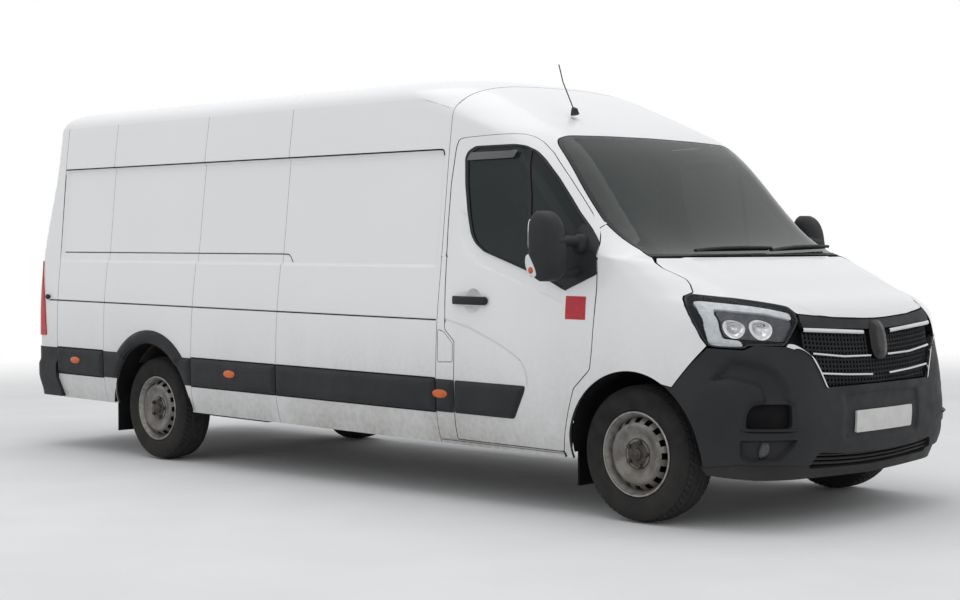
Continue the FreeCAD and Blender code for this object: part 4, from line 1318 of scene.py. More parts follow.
def on_side(points: Outline, closed: bool, radius: float = 0) -> Array:
    """(s, q) of a side-view outline, rounded and cut into short runs before it is laid on."""
    line = rounded(points, radius, closed) if radius else np.array(points, float)
    return BODY.side(densify(line, 22, closed))


def screen_line() -> Array:
    """The windscreen's outline in (s, q), its upper corners rounder than its lower ones."""
    return rounded(symmetric(SCREEN), 60)


def arch_line(which: str, start: float, end: float, extra: float = 0) -> Array:
    """Side-view points on a wheel arch's edge between two angles."""
    centre, radius = ARCH[which]
    return circle(centre, radius + extra, start, end)


@dataclass
class CabShell(Assembly):
    """The cab's posts, sills and roof as one skin round the doors and the windscreen."""

    jamb: float = 34.0
    opening: float = 5.0

    def half(self) -> Array:
        """The left half of the outline, from the roof over the windscreen to the roof's rear.

        Returns:
            Rows of (s, q).
        """
        top = grown(screen_line(), 6)
        top = top[(top[:, 0] >= 1) & (top[:, 1] > 2196)]
        top = top[np.argsort(-top[:, 1])]
        foot = on_side([(-296, 1548), (-312, 1524)], False)
        door = beside(on_side(DOOR_BACK, False, 14), self.opening)
        heights = np.linspace(SILL, GUTTER, 140)
        rear = BODY.side(list(zip(seam_x(heights) + GAP, heights)))
        across = np.linspace(900, 0, 40)
        back = BODY.top(rows_of(SEAM_AT[-1][0] + GAP, across))
        sill = on_side([(-488, SILL), (-1400, SILL)], False)
        return np.vstack([[(0, 2899)], top, foot, door[8:], sill, rear, back])

    def build(self) -> list[Piece]:
        """The shell, with the fuel flap's opening cut out on the right.

        Returns:
            The shell.
        """
        flap = grown(flipped(on_side(FLAP, True, 14)), 4)
        shell = skin([symmetric(self.half()), flap], 40, self.jamb)
        return [Piece("cab_shell", shell, PAINT, replaces=("cab_frame", "cab_roof"))]


@dataclass
class CabTub(Assembly):
    """The cab's floor with its steps, and the toe board under the dashboard."""

    floor: float = 612.0

    def build(self) -> list[Piece]:
        """The floor swept along the cab, and the board.

        Returns:
            The floor and board as one piece.
        """
        half = np.array([(0, self.floor), (560, self.floor), (900, self.floor),
                         (925, self.floor - 8), (938, self.floor - 30), (944, 480), (944, 400),
                         (950, 332), (962, 322), (1000, 318)], float)
        ring = np.vstack([half[:0:-1] * (-1, 1), half])
        x = np.linspace(-1440, -470, 12)
        grid = rows_of(x[:, None], ring[:, 0], ring[:, 1])
        path = np.array([(-470, 612), (-400, 640), (-320, 740), (-262, 860), (-240, 1010)])
        across = np.linspace(-680, 680, 9)
        board = rows_of(path[:, :1], across, path[:, 1:])
        return [Piece("cab_floor", joined([sheet(grid), sheet(board)]), TRIM)]


@dataclass
class Windscreen(Assembly):
    """The windscreen with its black edge, cowl, wipers and inner mirror."""

    band: float = 26.0
    tray: float = 125.0
    wipers: tuple = (((-560, 1870), (120, 1905), (-280, 1935)),
                     ((90, 1870), (780, 1925), (400, 1950)))

    def build(self) -> list[Piece]:
        """The glass, its printed edge, the cowl over its tray, and the wipers.

        Returns:
            The glass, edge, cowl, tray, wipers and mirror.
        """
        edge = screen_line()
        inner = grown(edge, -self.band)
        pieces = [
            Piece("windscreen_glass", skin([inner], 60, 4), SCREEN_GLASS,
                  replaces=("windscreen",)),
            Piece("windscreen_edge", skin([edge, inner], 34, 9), GLOSS, slot="glass"),
        ]
        cowl = symmetric([(0, 1878), (600, 1870), (872, 1864), (860, 1900), (600, 1896),
                          (0, 1893)])
        pieces.append(Piece("cowl", skin([cowl], 40, 90, lift=3), PLASTIC))
        tray = symmetric([(0, 1760), (820, 1770), (850, 1880), (0, 1884)])
        pieces.append(Piece("cowl_tray", skin([tray], 60, 0, lift=-self.tray), DARK))
        blades, arms = [], []
        for pivot, tip, far in self.wipers:
            line = np.array([pivot, far, tip], float)
            t = np.linspace(0, 1, 16)[:, None]
            bow = (1 - t) ** 2 * line[0] + 2 * t * (1 - t) * line[1] + t ** 2 * line[2]
            blade = np.linspace(line[0] + (40, 45), line[2] + (0, 22), 16)
            arms.append(tube(self.raised(bow, 34), 9, 10))
            blades.append(tube(self.raised(blade, 17), 7, 8))
        pieces.append(Piece("wiper_arms", joined(arms), PLASTIC, replaces=("wipers",)))
        pieces.append(Piece("wiper_blades", joined(blades), DARK))
        holder = pillow((-640, 0, 1905), (22, 120, 36), 4, 18)
        pieces.append(Piece("inner_mirror", holder, DARK))
        return pieces

    @staticmethod
    def raised(place: Array, height: float) -> Array:
        """Points off the surface by a height, along its normal.

        Args:
            place: Rows of (s, q).
            height: The height.

        Returns:
            Rows of x, y, z.
        """
        point = BODY.point(place)
        normal = np.cross(BODY.point(place + (1, 0)) - point, BODY.point(place + (0, 1)) - point)
        return point + normal / np.linalg.norm(normal, axis=1, keepdims=True) * height


@dataclass
class Bonnet(Assembly):
    """The bonnet with its raised middle and the creases beside it."""

    crease: float = 5.0

    def build(self) -> list[Piece]:
        """The bonnet skin.

        Returns:
            The skin and its liner.
        """
        middle = symmetric([(0, 1040), (420, 1050), (560, 1200), (660, 1500), (700, 1880),
                            (0, 1880)])
        features = [Field(middle, -self.crease, 34)]
        edge = rounded(symmetric(BONNET), 14)
        panel = skin([edge], 36, 12, features=features)
        liner = skin([grown(edge, -50)], 70, 0, lift=-17)
        return [Piece("bonnet_skin", panel, PAINT, "bonnet", replaces=("bonnet",)),
                Piece("bonnet_liner", liner, DARK, "bonnet")]


@dataclass
class Wing(Assembly):
    """One front wing, from the headlamp to the door."""

    side: Side

    def outline(self) -> Array:
        """The wing's edge in (s, q) on the left.

        Returns:
            Rows of (s, q).
        """
        front = np.array([(1340, 744), (1316, 768), (1212, 868), (1115, 957), (1142, 996),
                          (1173, 1075), (1169, 1124), (1142, 1196), (1092, 1279), (1051, 1328),
                          (990, 1364), (968, 1378), (921, 1466),
                          (902, 1522), (913, 1603), (926, 1670), (915, 1766), (878, 1846),
                          (862, 1958), (884, 2078), (897, 2188)], float)
        foot = on_side([(-296, 1542), (-306, 1521)], False)
        behind = beside(on_side(DOOR_FRONT, False, 14), 5)[::-1]
        arch = BODY.side(arch_line("front", 188, 61))
        return np.vstack([front, foot, behind[2:], BODY.side([(-470, SILL + 6)]), arch])

    def build(self) -> list[Piece]:
        """The wing's skin.

        Returns:
            The skin.
        """
        panel = skin([self.outline()], 34, 16).on(self.side)
        return [Piece(f"wing_skin_{self.side.word}", panel, PAINT,
                      replaces=(f"wing_{self.side.word}",))]


@dataclass
class Bumper(Assembly):
    """The front bumper with its scoops, fog lamps, lower intake, number plate and step."""

    brow: tuple = ((1010, 906), (923, 900), (849, 881), (776, 843), (737, 786), (716, 727),
                   (712, 660), (880, 650), (890, 745), (1010, 775), (1150, 770), (1100, 830))
    scoop: tuple = ((967, 546), (961, 620), (927, 663), (876, 672), (716, 670), (720, 544))
    fog: tuple = ((996, 492), (683, 492), (757, 375), (930, 370), (975, 394))
    intake: tuple = ((0, 386), (300, 392), (530, 414), (566, 356), (548, 318), (0, 300))
    lamp: tuple = (857, 432, 25, 43)

    def outline(self) -> Array:
        """The left half of the bumper's edge in (s, q).

        Returns:
            Rows of (s, q).
        """
        inner = np.array([(0, 741), (484, 741), (517, 810), (571, 908), (634, 951), (706, 968),
                          (718, 951), (776, 955), (876, 960), (934, 936), (1027, 941),
                          (1112, 946), (1212, 860), (1316, 760), (1338, 738)], float)
        arch = BODY.side(arch_line("front", 60, -4))
        low = np.array([(1160, 338), (1108, 289), (857, 266), (595, 261), (0, 247)], float)
        return np.vstack([inner, arch, low])

    def build(self) -> list[Piece]:
        """The bumper skin with pressed-in areas, the dark meshes, lamps and blank plate.

        Returns:
            The skin, backs, slats, lamps, bars and plate.
        """
        brow, scoop = rounded(self.brow, 20), rounded(self.scoop, 24)
        fog, intake = rounded(self.fog, 22), rounded(symmetric(self.intake), 22)
        plinth = rounded(symmetric([(0, 712), (350, 700), (350, 462), (0, 462)]), 30)
        lower = symmetric([(0, 352), (575, 352), (961, 368), (1190, 340), (1190, 200), (0, 200)])
        holes = [intake, scoop, flipped(scoop)]
        features = [Field(brow, 34, 46), Field(flipped(brow), 34, 46), Field(fog, 30, 14),
                    Field(flipped(fog), 30, 14), Field(plinth, 9, 16), Field(lower, 14, 16),
                    Field(grown(scoop, 22), 16, 22), Field(grown(flipped(scoop), 22), 16, 22)]
        panel = skin([symmetric(self.outline())] + holes, 34, 30, features=features)
        pieces = [Piece("bumper_skin", panel, PLASTIC, replaces=("front_bumper",))]
        backs = [skin([grown(hole, 16)], 50, 0, lift=-58) for hole in holes[1:]]
        pieces.append(Piece("scoop_backs", joined(backs), DARK))
        back = skin([grown(intake, 14)], 50, 0, lift=-52)
        pieces.append(Piece("intake_back", back, DARK, slot="grille_plastic"))
        sag = 24 * np.linspace(-1, 1, 40) ** 2
        slats = [tube(Windscreen.raised(rows_of(np.linspace(-555, 555, 40), q + sag), -30),
                      8, 8, 1.6) for q in (322, 346, 370)]
        pieces.append(Piece("intake_slats", joined(slats), PLASTIC, slot="grille_plastic"))
        lamps, rings = [], []
        s, q, wide, high = self.lamp
        turn = np.linspace(0, 2 * math.pi, 29)[:-1]
        for sign in (1, -1):
            for size, lift, store in ((1.0, -20, lamps), (1.3, -25, rings)):
                place = rows_of(sign * (s + wide * size * np.cos(turn)), q + high * size
                                * np.sin(turn))
                store.append(skin([place], 14, 3, lift=lift,
                                  features=[Field(place, -9 * size, wide * size * 0.9)]))
        pieces.append(Piece("fog_lamps", joined(lamps), BEZEL))
        pieces.append(Piece("fog_lamp_seats", joined(rings), GLOSS))
        bars = [tube(Windscreen.raised(np.linspace((690, 538), (988, 542), 14) * (sign, 1), 1),
                     5, 8, 2.2) for sign in (1, -1)]
        pieces.append(Piece("bumper_bars", joined(bars), PLASTIC))
        plate = rounded(symmetric([(0, 612), (262, 612), (262, 500), (0, 500)]), 10)
        pieces.append(Piece("front_plate_blank", skin([plate], 40, 12, lift=5), PALE))
        return pieces


@dataclass
class Grille(Assembly):
    """The grille: a header, a lattice, three pairs of bright strips and a blank cover."""

    strips: tuple = (((126, 1008), (424, 1025), (598, 1034)), ((80, 887), (309, 891), (550, 915)),
                     ((80, 789), (301, 799), (502, 813)))
    sizes: tuple = (13.0, 6.5, 6.5)
    across: float = 28.0
    up: float = 23.0

    def build(self) -> list[Piece]:
        """The back, the lattice, the header, the strips, the upright trims and the cover.

        Returns:
            The back, lattice, header, strips and cover.
        """
        area = symmetric(GRILLE)
        back = skin([grown(area, 6)], 45, 0, lift=-62)
        pieces = [Piece("grille_back", back, DARK, replaces=("grille",), slot="grille_plastic"),
                  Piece("grille_lattice", self.lattice(area), PLASTIC, slot="grille_plastic")]
        header = symmetric([(0, 1076), (104, 1078), (355, 1092), (588, 1121),
                                     (604, 1080), (598, 1046), (355, 1034), (0, 1020)])
        pieces.append(Piece("grille_header", skin([rounded(header, 8)], 34, 26), PLASTIC))
        bright = []
        for sign in (1, -1):
            for strip, size in zip(self.strips, self.sizes):
                line = densify(np.array(strip, float), 30, False) * (sign, 1)
                bright.append(tube(Windscreen.raised(line, -8), size, 12, 0.9))
            outer = rounded([(714, 951), (703, 966), (672, 964), (637, 948), (575, 908),
                             (524, 822), (486, 746)], 20, False)
            inner = outer - np.linspace(44, 18, len(outer))[:, None] * (0.8, 0.6)
            ring = np.vstack([outer, inner[::-1][:-3]]) * (sign, 1)
            bright.append(skin([ring], 26, 18, lift=7))
        pieces.append(Piece("grille_strips", joined(bright), CHROME))
        cover = rounded(symmetric([(0, 1072), (40, 1068), (76, 1020), (76, 920),
                                            (50, 872), (0, 862)]), 30)
        crown = [Field(cover, -14, 44)]
        pieces.append(Piece("grille_cover", skin([cover], 16, 40, crown, lift=2), GLOSS))
        return pieces

    def lattice(self, area: Array) -> Part:
        """Bars up and across, each cut to where it lies inside the grille.

        Args:
            area: The grille's outline in (s, q).

        Returns:
            All bars as one part.
        """
        bars = []
        for value in np.arange(752, 1020, self.up):
            line = rows_of(np.linspace(-590, 590, 80), value + 26 * (np.linspace(-1, 1, 80)) ** 2)
            bars += self.cut(line, area)
        for value in np.arange(-588, 589, self.across):
            line = rows_of(value, np.linspace(748, 1040, 22))
            bars += self.cut(line, area)
        return joined(bars)

    @staticmethod
    def cut(line: Array, area: Array) -> list[Part]:
        """A bar along the part of a line that lies inside an area.

        Args:
            line: Rows of (s, q).
            area: The outline.

        Returns:
            The bar, or nothing.
        """
        kept = line[inside(line, [area])]
        if len(kept) < 3:
            return []
        return [tube(Windscreen.raised(kept, -26), 5.5, 4, 1.0)]


@dataclass
class Headlamps(Assembly):
    """Both headlamps: dark bowls, reflectors, the bent light guides and clear lenses."""

    depth: float = 60.0
    guide: tuple = ((622, 1146), (799, 1226), (1000, 1290), (1050, 1266), (1100, 1150),
                    (1120, 1050), (1104, 966), (1075, 954), (930, 956), (945, 984), (1030, 992),
                    (1044, 1040), (1030, 1140), (1000, 1186), (761, 1150), (640, 1100))
    dishes: tuple = ((966, 1050, 57), (826, 1048, 62))

    def build(self) -> list[Piece]:
        """The bowl, edge, guide, reflectors and lens of each lamp.

        Returns:
            One piece for each kind, over both lamps.
        """
        finishes = {"bowl": DARK, "edge": GLOSS, "guide": GUIDE, "reflector": REFLECTOR,
                    "bezel": BEZEL, "lens": LENS}
        groups: dict[str, list[Part]] = {name: [] for name in finishes}
        lens = rounded(LAMP, 24)
        guide = np.array(self.guide, float)
        bezel = rounded([(650, 1100), (765, 1142), (998, 1176), (1020, 1130), (1032, 1040),
                         (1020, 1000), (950, 992), (780, 982), (712, 978), (652, 1060)], 16)
        for turn in (lambda a: a, flipped):
            groups["bowl"].append(skin([turn(grown(lens, 2))], 40, 0, lift=-self.depth - 6))
            groups["edge"].append(skin([turn(lens), turn(grown(lens, -7))], 22,
                                       self.depth + 2, lift=-1))
            groups["guide"].append(skin([turn(rounded(guide, 14))], 16, 24,
                                        [Ribs(1000, 1040)], lift=-14))
            holes = [turn(whole_circle((s, q), size + 1, 32)) for s, q, size in self.dishes]
            groups["bezel"].append(skin([turn(bezel)] + holes, 30, 26, lift=-24))
            groups["lens"].append(skin([turn(lens)], 34, 3, lift=1))
            for s, q, size in self.dishes:
                rim = turn(whole_circle((s, q), size, 32))
                dish = [Field(rim, 36, size * 0.9)]
                groups["reflector"].append(skin([rim], 10, 22, dish, lift=-26))
        return [Piece(f"headlamp_{name}s", joined(parts), finishes[name],
                      replaces=("headlamps",) if name == "lens" else (), slot="lamp_lens")
                for name, parts in groups.items()]


@dataclass
class Door(Assembly):
    """One front door with its window, deflector, seals, handle, trim and mirror."""

    side: Side
    handle: tuple = (-1308, -1034, 1098, 1145)
    cup: tuple = (-1158, 1119, 70)

    def window(self, margin: float = 0) -> Array:
        """The window's outline in (s, q), moved outwards by a margin."""
        return grown(on_side(WINDOW, True, 22), margin)

    def build(self) -> list[Piece]:
        """The door's skin and everything on it.

        Returns:
            The door's pieces.
        """
        word = self.side.word
        body = f"front_door_{word}"
        edge = on_side(DOOR_BACK + DOOR_FRONT[1:-1], True, 12)
        crease = Groove(on_side([(-1370, 1003), (-1330, 1000), (-1170, 967), (-933, 882),
                                 (-780, 807), (-734, 744), (-727, 672)], False, 30), 17, 9)
        x, z, size = self.cup
        cup = BODY.side(whole_circle((x, z), size, 36))
        below = on_side([(-1300, 1620), (-1292, 1480), (-1238, 1390), (-1120, 1314),
                         (-925, 1258), (-715, 1193), (-591, 1156), (-455, 1108), (-455, 1290),
                         (-925, 1420), (-1080, 1500), (-1130, 1620)], True, 12)
        panel = skin([edge, self.window(1)], 34, 30,
                     features=[crease, Field(cup, 30, 34), Field(below, 13, 38)])
        bar_line = [(-819, 1958), (-794, 1962), (-752, 1704), (-733, 1345), (-759, 1351),
                    (-779, 1704)]
        sail = [(-264, 1442), (-249, 1280), (-473, 1188), (-500, 1260), (-470, 1400),
                (-395, 1545), (-344, 1526)]
        deflector = [(-1255, 1909), (-1228, 1952), (-866, 1952), (-887, 1912)]
        lining = skin([grown(edge, -22), self.window(-10)], 60, 0, lift=-44)
        groups = (
            ("skin", panel, PAINT, (body,)),
            ("window", skin([self.window(-17)], 60, 4, lift=-7), GLASS, (f"door_glass_{word}",)),
            ("seal", skin([self.window(0), self.window(-19)], 34, 14, lift=-1), GLOSS, ()),
            ("bar", skin([on_side(bar_line, True, 4)], 40, 8, lift=-1), GLOSS, ()),
            ("sail", skin([on_side(sail, True, 12)], 30, 14, lift=4), PLASTIC, ()),
            ("deflector", skin([on_side(deflector, True, 12)], 26, 3, lift=16), SMOKE, ()),
            ("trim", lining, DARK, ()),
            ("moulding_skin", self.moulding(), PLASTIC, (f"door_moulding_{word}",)),
            ("handle", self.grip(), PLASTIC, ()))
        pieces = [Piece(f"door_{name}_{word}", part.on(self.side), finish, body, replaced)
                  for name, part, finish, replaced in groups]
        return pieces + self.mirror(body) + self.square(body)

    def moulding(self) -> Part:
        """The plastic strip along the door's foot.

        Returns:
            The strip on the left.
        """
        ring = on_side([(-742, 667), (-745, 640), (-828, BAND[0]), (-1296, BAND[0]),
                        (-1290, 667)], True, 16)
        return skin([ring], 30, 18, lift=3, features=[Field(ring, -13, 24)])

    def grip(self) -> Part:
        """The handle, a squared bar bowed over its cup.

        Returns:
            The handle on the left.
        """
        back, front, low, high = self.handle
        line = rows_of(np.linspace(back, front, 24), (low + high) / 2)
        rise = 10 + 18 * np.sin(np.linspace(0, math.pi, 24)) ** 0.5
        path = BODY.point(BODY.side(line.tolist())) + rows_of(0, rise, 0)
        turn = np.arange(20) / 20 * 2 * math.pi
        cos = signed_power(np.cos(turn), 0.5)
        sin = signed_power(np.sin(turn), 0.5)
        size = np.minimum(1, 0.45 + 4 * np.sin(np.linspace(0, math.pi, 24)))[:, None]
        ring = path[:, None] + rows_of(0, 11 * cos * size, (high - low) / 2 * sin * size)
        return capped(ring)

    def mirror(self, body: str) -> list[Piece]:
        """The mirror's arms, head, panes and side lamp.

        Args:
            body: The door that it rides on.

        Returns:
            The mirror's pieces.
        """
        word = self.side.word
        arm = tube([(-372, 966, 1436), (-376, 1020, 1452), (-372, 1110, 1456), (-366, 1190, 1452),
                    (-372, 1235, 1446)], np.array([32.0, 30, 27, 24, 12]), 16, 1.15)
        knuckle = pillow((-372, 1000, 1440), (46, 46, 52), 2.6, 16)
        foot = tube([(-392, 972, 1300), (-398, 1030, 1290), (-410, 1110, 1284)],
                    np.array([34.0, 28, 26]), 14, 1.2)
        base = pillow((-400, 985, 1270), (60, 30, 60), 3, 16)
        lamp = self.lamp()
        groups = (("mirror_head", self.head(), PLASTIC, (f"mirror_{word}",)),
                  ("mirror_pane", self.panes(), MIRROR, ()),
                  ("mirror_arm", joined([arm, foot, knuckle, base]), PLASTIC, ()),
                  ("mirror_lamp", lamp[0], GUIDE, ()), ("mirror_bulb", lamp[1], AMBER, ()))
        return [Piece(f"{name}_{word}", part.on(self.side), finish, body, replaced,
                      slot="black_plastic") for name, part, finish, replaced in groups]

    @staticmethod
    def lamp() -> tuple[Part, Part]:
        """The mirror's side lamp, a leaf-shaped lens with an amber bulb.

        Returns:
            The lens and the bulb.
        """
        lens = pillow((-478, 1266, 1326), (36, 18, 60), 2.2, 20)
        lean = (lens.points[:, 2] - 1326) * 0.25
        bulb = pillow((-468, 1279, 1302), (17, 9, 19), 2.2, 12)
        return Part(lens.points - rows_of(lean, 0, 0), lens.faces), bulb

    @staticmethod
    def panes() -> Part:
        """The large and the small pane, set into the head's rear face.

        Returns:
            Both panes as one part.
        """
        upper = pillow((-506, 1188, 1480), (4, 72, 94), 5)
        lower = pillow((-506, 1186, 1308), (4, 70, 44), 5)
        return joined([upper, lower])

    @staticmethod
    def head() -> Part:
        """The mirror's head: a rounded shell, fuller in front, flatter behind.

        Round sections stand on each other in height. A section is a superellipse of half
        length a(z) along the van and half width b(z) across it. The front half is longer, and
        the top and the foot lean back.

        Returns:
            The head on the left.
        """
        low, high = 1238.0, 1618.0
        t = np.linspace(0.015, 0.985, 30)
        bulge = (1 - np.abs(2 * t - 1) ** 3.4) ** 0.5
        angle = np.arange(44) / 44 * 2 * math.pi
        cos = signed_power(np.cos(angle), 0.7)
        sin = signed_power(np.sin(angle), 0.62)
        full = bulge[:, None] * (1.12 - 0.24 * t[:, None])
        x = -448 + full * np.where(cos > 0, 112.0, 66.0)[None] * cos[None] \
            - 26 * (t[:, None] - 0.4)
        y = 1190 + 94 * bulge[:, None] ** 0.7 * sin[None] * (1.0 - 0.08 * t[:, None])
        z = np.repeat((low + (high - low) * t)[:, None], 44, 1)
        return capped(rows_of(x, y, z))

    def square(self, body: str) -> list[Piece]:
        """The plain red square on the right door.

        Args:
            body: The door that it rides on.

        Returns:
            The square, or nothing on the left.
        """
        if self.side is Side.LEFT:
            return []
        edge = on_side([(-456, 1040), (-314, 1040), (-314, 1163), (-456, 1163)], True, 2)
        part = skin([edge], 30, 1.5, lift=1.2).on(self.side)
        return [Piece("door_square", part, STICKER, body)]


@dataclass
class LoadSide(Assembly):
    """One side of the load body: four bays, their recessed fields, mouldings and skirts."""

    side: Side
    gap: float = 1.4
    recess: tuple = ((-1462, 1300), (-1446, 1982), (-5530, 1982), (-5530, 1300))
    top_line: tuple = ((-1452, 1945), (-1462, 1978), (-1500, 1980), (-5524, 1980))
    low_line: tuple = ((-2806, 1322), (-2842, 1372), (-2900, 1374), (-5500, 1374))
    markers: tuple = (-5265, -3395, -1398)
    marker_height: float = 585.0
    seams: tuple = (((-2924, 662), (-2883, 1976)), ((-3844, 675), (-3787, 1965)),
                    ((-4910, 681), (-4879, 1969)), ((-5531, 668), (-5524, 1979)))

    @staticmethod
    def line(seam: Outline, z: Array) -> Array:
        """A seam's x at a height."""
        (x0, z0), (x1, z1) = seam
        return x0 + (z - z0) / (z1 - z0) * (x1 - x0)

    def bay(self, index: int) -> Array:
        """A bay's outline in (x, z), with the wheel arch cut from its foot.

        Args:
            index: The bay's number from the front.

        Returns:
            Rows of (x, z).
        """
        heights = np.linspace(SILL, GUTTER, 22)
        front = seam_x(heights) if index == 0 else self.line(self.seams[index - 1], heights)
        if index == 4:
            rear = CORNER_X + rear_lean(heights) - 61
            keep = heights >= 560
            front = rows_of(front[keep] - GAP, heights[keep])
            rear = rows_of(rear[keep], heights[keep])[::-1]
            return np.vstack([front, rear])
        rear = self.line(self.seams[index], heights)
        front_edge = rows_of(front - self.gap, heights)
        rear_edge = rows_of(rear + self.gap, heights)[::-1]
        centre, radius = ARCH["rear"]
        loop = np.vstack([front_edge, rear_edge])
        if index == 2:
            angle = math.degrees(math.asin((SILL - centre[1]) / radius))
            loop = np.vstack([loop, arch_line("rear", 180 - angle, angle)])
        return loop

    def features(self, index: int) -> list[Groove | Field]:
        """A bay's pressed lines: the recessed field's part, its lower line and the waist.

        Args:
            index: The bay's number from the front.

        Returns:
            The grooves and the field.
        """
        low = rounded(self.low_line, 30, False)
        listed: list[Groove | Field] = [Groove(np.array([(-1400.0, 1004), (-5660, 1017)]), 15, 8)]
        if index < 4:
            listed += [Field(rounded(self.recess, 50), 19, 21), Groove(low, 13, 5)]
        return listed

    def beads(self) -> Part:
        """Strips of painted shadow: over the field, under the plate, and along the waist.

        Returns:
            All three lines as one part.
        """
        top, low = (rounded(line, 30, False) for line in (self.top_line, self.low_line))
        waist = np.array([(-1456.0, 1004), (-5652, 1017)])
        parts = []
        for line, lift, half in ((top, 1, 4.5), (low, -21.5, 2.6), (waist, -5.5, 3.6)):
            fine = densify(line, 60, False)
            ring = np.vstack([beside(fine, half), beside(fine, -half)[::-1]])
            parts.append(skin([ring], 40, 0, lift=lift, chart=load_side))
        return joined(parts)

    def build(self) -> list[Piece]:
        """The bays' skins, the mouldings over them and the corner behind.

        Returns:
            The side's pieces.
        """
        word = self.side.word
        pieces = []
        for index in range(5):
            panel = skin([self.bay(index)], 40, 14, features=self.features(index), chart=load_side)
            name, replaced = f"side_bay_{index + 1}_{word}", ()
            if index == 0 and self.side is Side.LEFT:
                replaced = ("sliding_door",)
            elif index == 1:
                replaced = (f"side_panels_{word}",)
            pieces.append(Piece(name, panel.on(self.side), PAINT, replaces=replaced))
        # Near-black strips along the pressed lines, as painted shadow.
        pieces.append(Piece(f"side_beads_{word}", self.beads().on(self.side), DARK))
        pieces += self.mouldings()
        # The wheel house takes the near-black colour as painted shade.
        pieces.append(Piece(f"wheel_box_{word}", self.wheel_box().on(self.side), DARK))
        knob = turned_profile([(0.5, 24), (14, 23), (20, 15), (18, 5), (12, 0), (12, -8)], 20)
        knob = knob.moved(-5650, 1030, 1040).on(self.side)
        pieces.append(Piece(f"door_stop_{word}", knob, PLASTIC))
        return pieces

    @staticmethod
    def wheel_box() -> Part:
        """The rear wheel house in painted shade: half a drum, closed towards the middle.

        Returns:
            The wheel house on the left.
        """
        (x, z), radius = ARCH["rear"]
        profile = np.array([(radius + 6, 1016), (radius + 6, 720), (radius - 14, 700),
                            (200, 700), (6, 700)], float)
        angle = np.radians(np.linspace(2, 178, 60))
        r, y = profile[:, :1], profile[:, 1:]
        return sheet(rows_of(x + r * np.cos(angle), y + 0 * angle, z + r * np.sin(angle)))

    def mouldings(self) -> list[Piece]:
        """The strip along the side, the flare round the wheel arch and the side lamps.

        Returns:
            The strip, what lies behind its joints, and the lamps.
        """
        centre, radius = ARCH["rear"]
        low, high = BAND
        outer = radius + 90
        rise = math.degrees(math.asin((high - centre[1]) / outer))
        foot = math.degrees(math.asin((low - centre[1]) / radius))
        cuts = [(-1449, -1449)] + [(self.line(s, low), self.line(s, high)) for s in self.seams]
        parts, backs = [], []
        for index in range(4):
            (front_low, front_high), (rear_low, rear_high) = cuts[index], cuts[index + 1]
            fields = []
            if index == 2:
                over = arch_line("rear", rise, 180 - rise, 90)
                under = arch_line("rear", 180 - foot, foot)
                loop = np.vstack([[(front_low - 5, low), (front_high - 5, high)], over,
                                  [(rear_high + 5, high), (rear_low + 5, low)], under])
                start = math.degrees(math.asin((high - 8 - centre[1]) / outer))
                flare = np.vstack([arch_line("rear", start, 180 - start, 90),
                                   arch_line("rear", 180 - start, start, -30)])
                fields.append(Field(flare, -12, 42))
            else:
                loop = rounded([(front_low - 5, low), (front_high - 5, high),
                                (rear_high + 5, high), (rear_low + 5, low)], 8)
            parts.append(skin([loop], 30, 24, lift=4,
                              features=[Field(loop, -13, 26)] + fields, chart=load_side))
            backs.append(skin([grown(loop, 8 if index != 2 else 0)], 60, 0, lift=2,
                              chart=load_side))
        front = rounded([(-1304, low), (-1300, high), (-1444, high), (-1444, low)], 8)
        parts.append(skin([front], 30, 18, lift=4, features=[Field(front, -13, 26)],
                          chart=load_side))
        word = self.side.word
        pieces = [Piece(f"side_moulding_{word}", joined(parts).on(self.side), PLASTIC,
                        replaces=("side_mouldings",) if self.side is Side.RIGHT else ()),
                  Piece(f"moulding_back_{word}", joined(backs).on(self.side), DARK)]
        y = BODY.half_at(self.marker_height) + 18
        markers = [pillow((x, y, self.marker_height), (60, 10, 25), 2.2) for x in self.markers]
        pieces.append(Piece(f"side_lamps_{word}", joined(markers).on(self.side), AMBER))
        return pieces


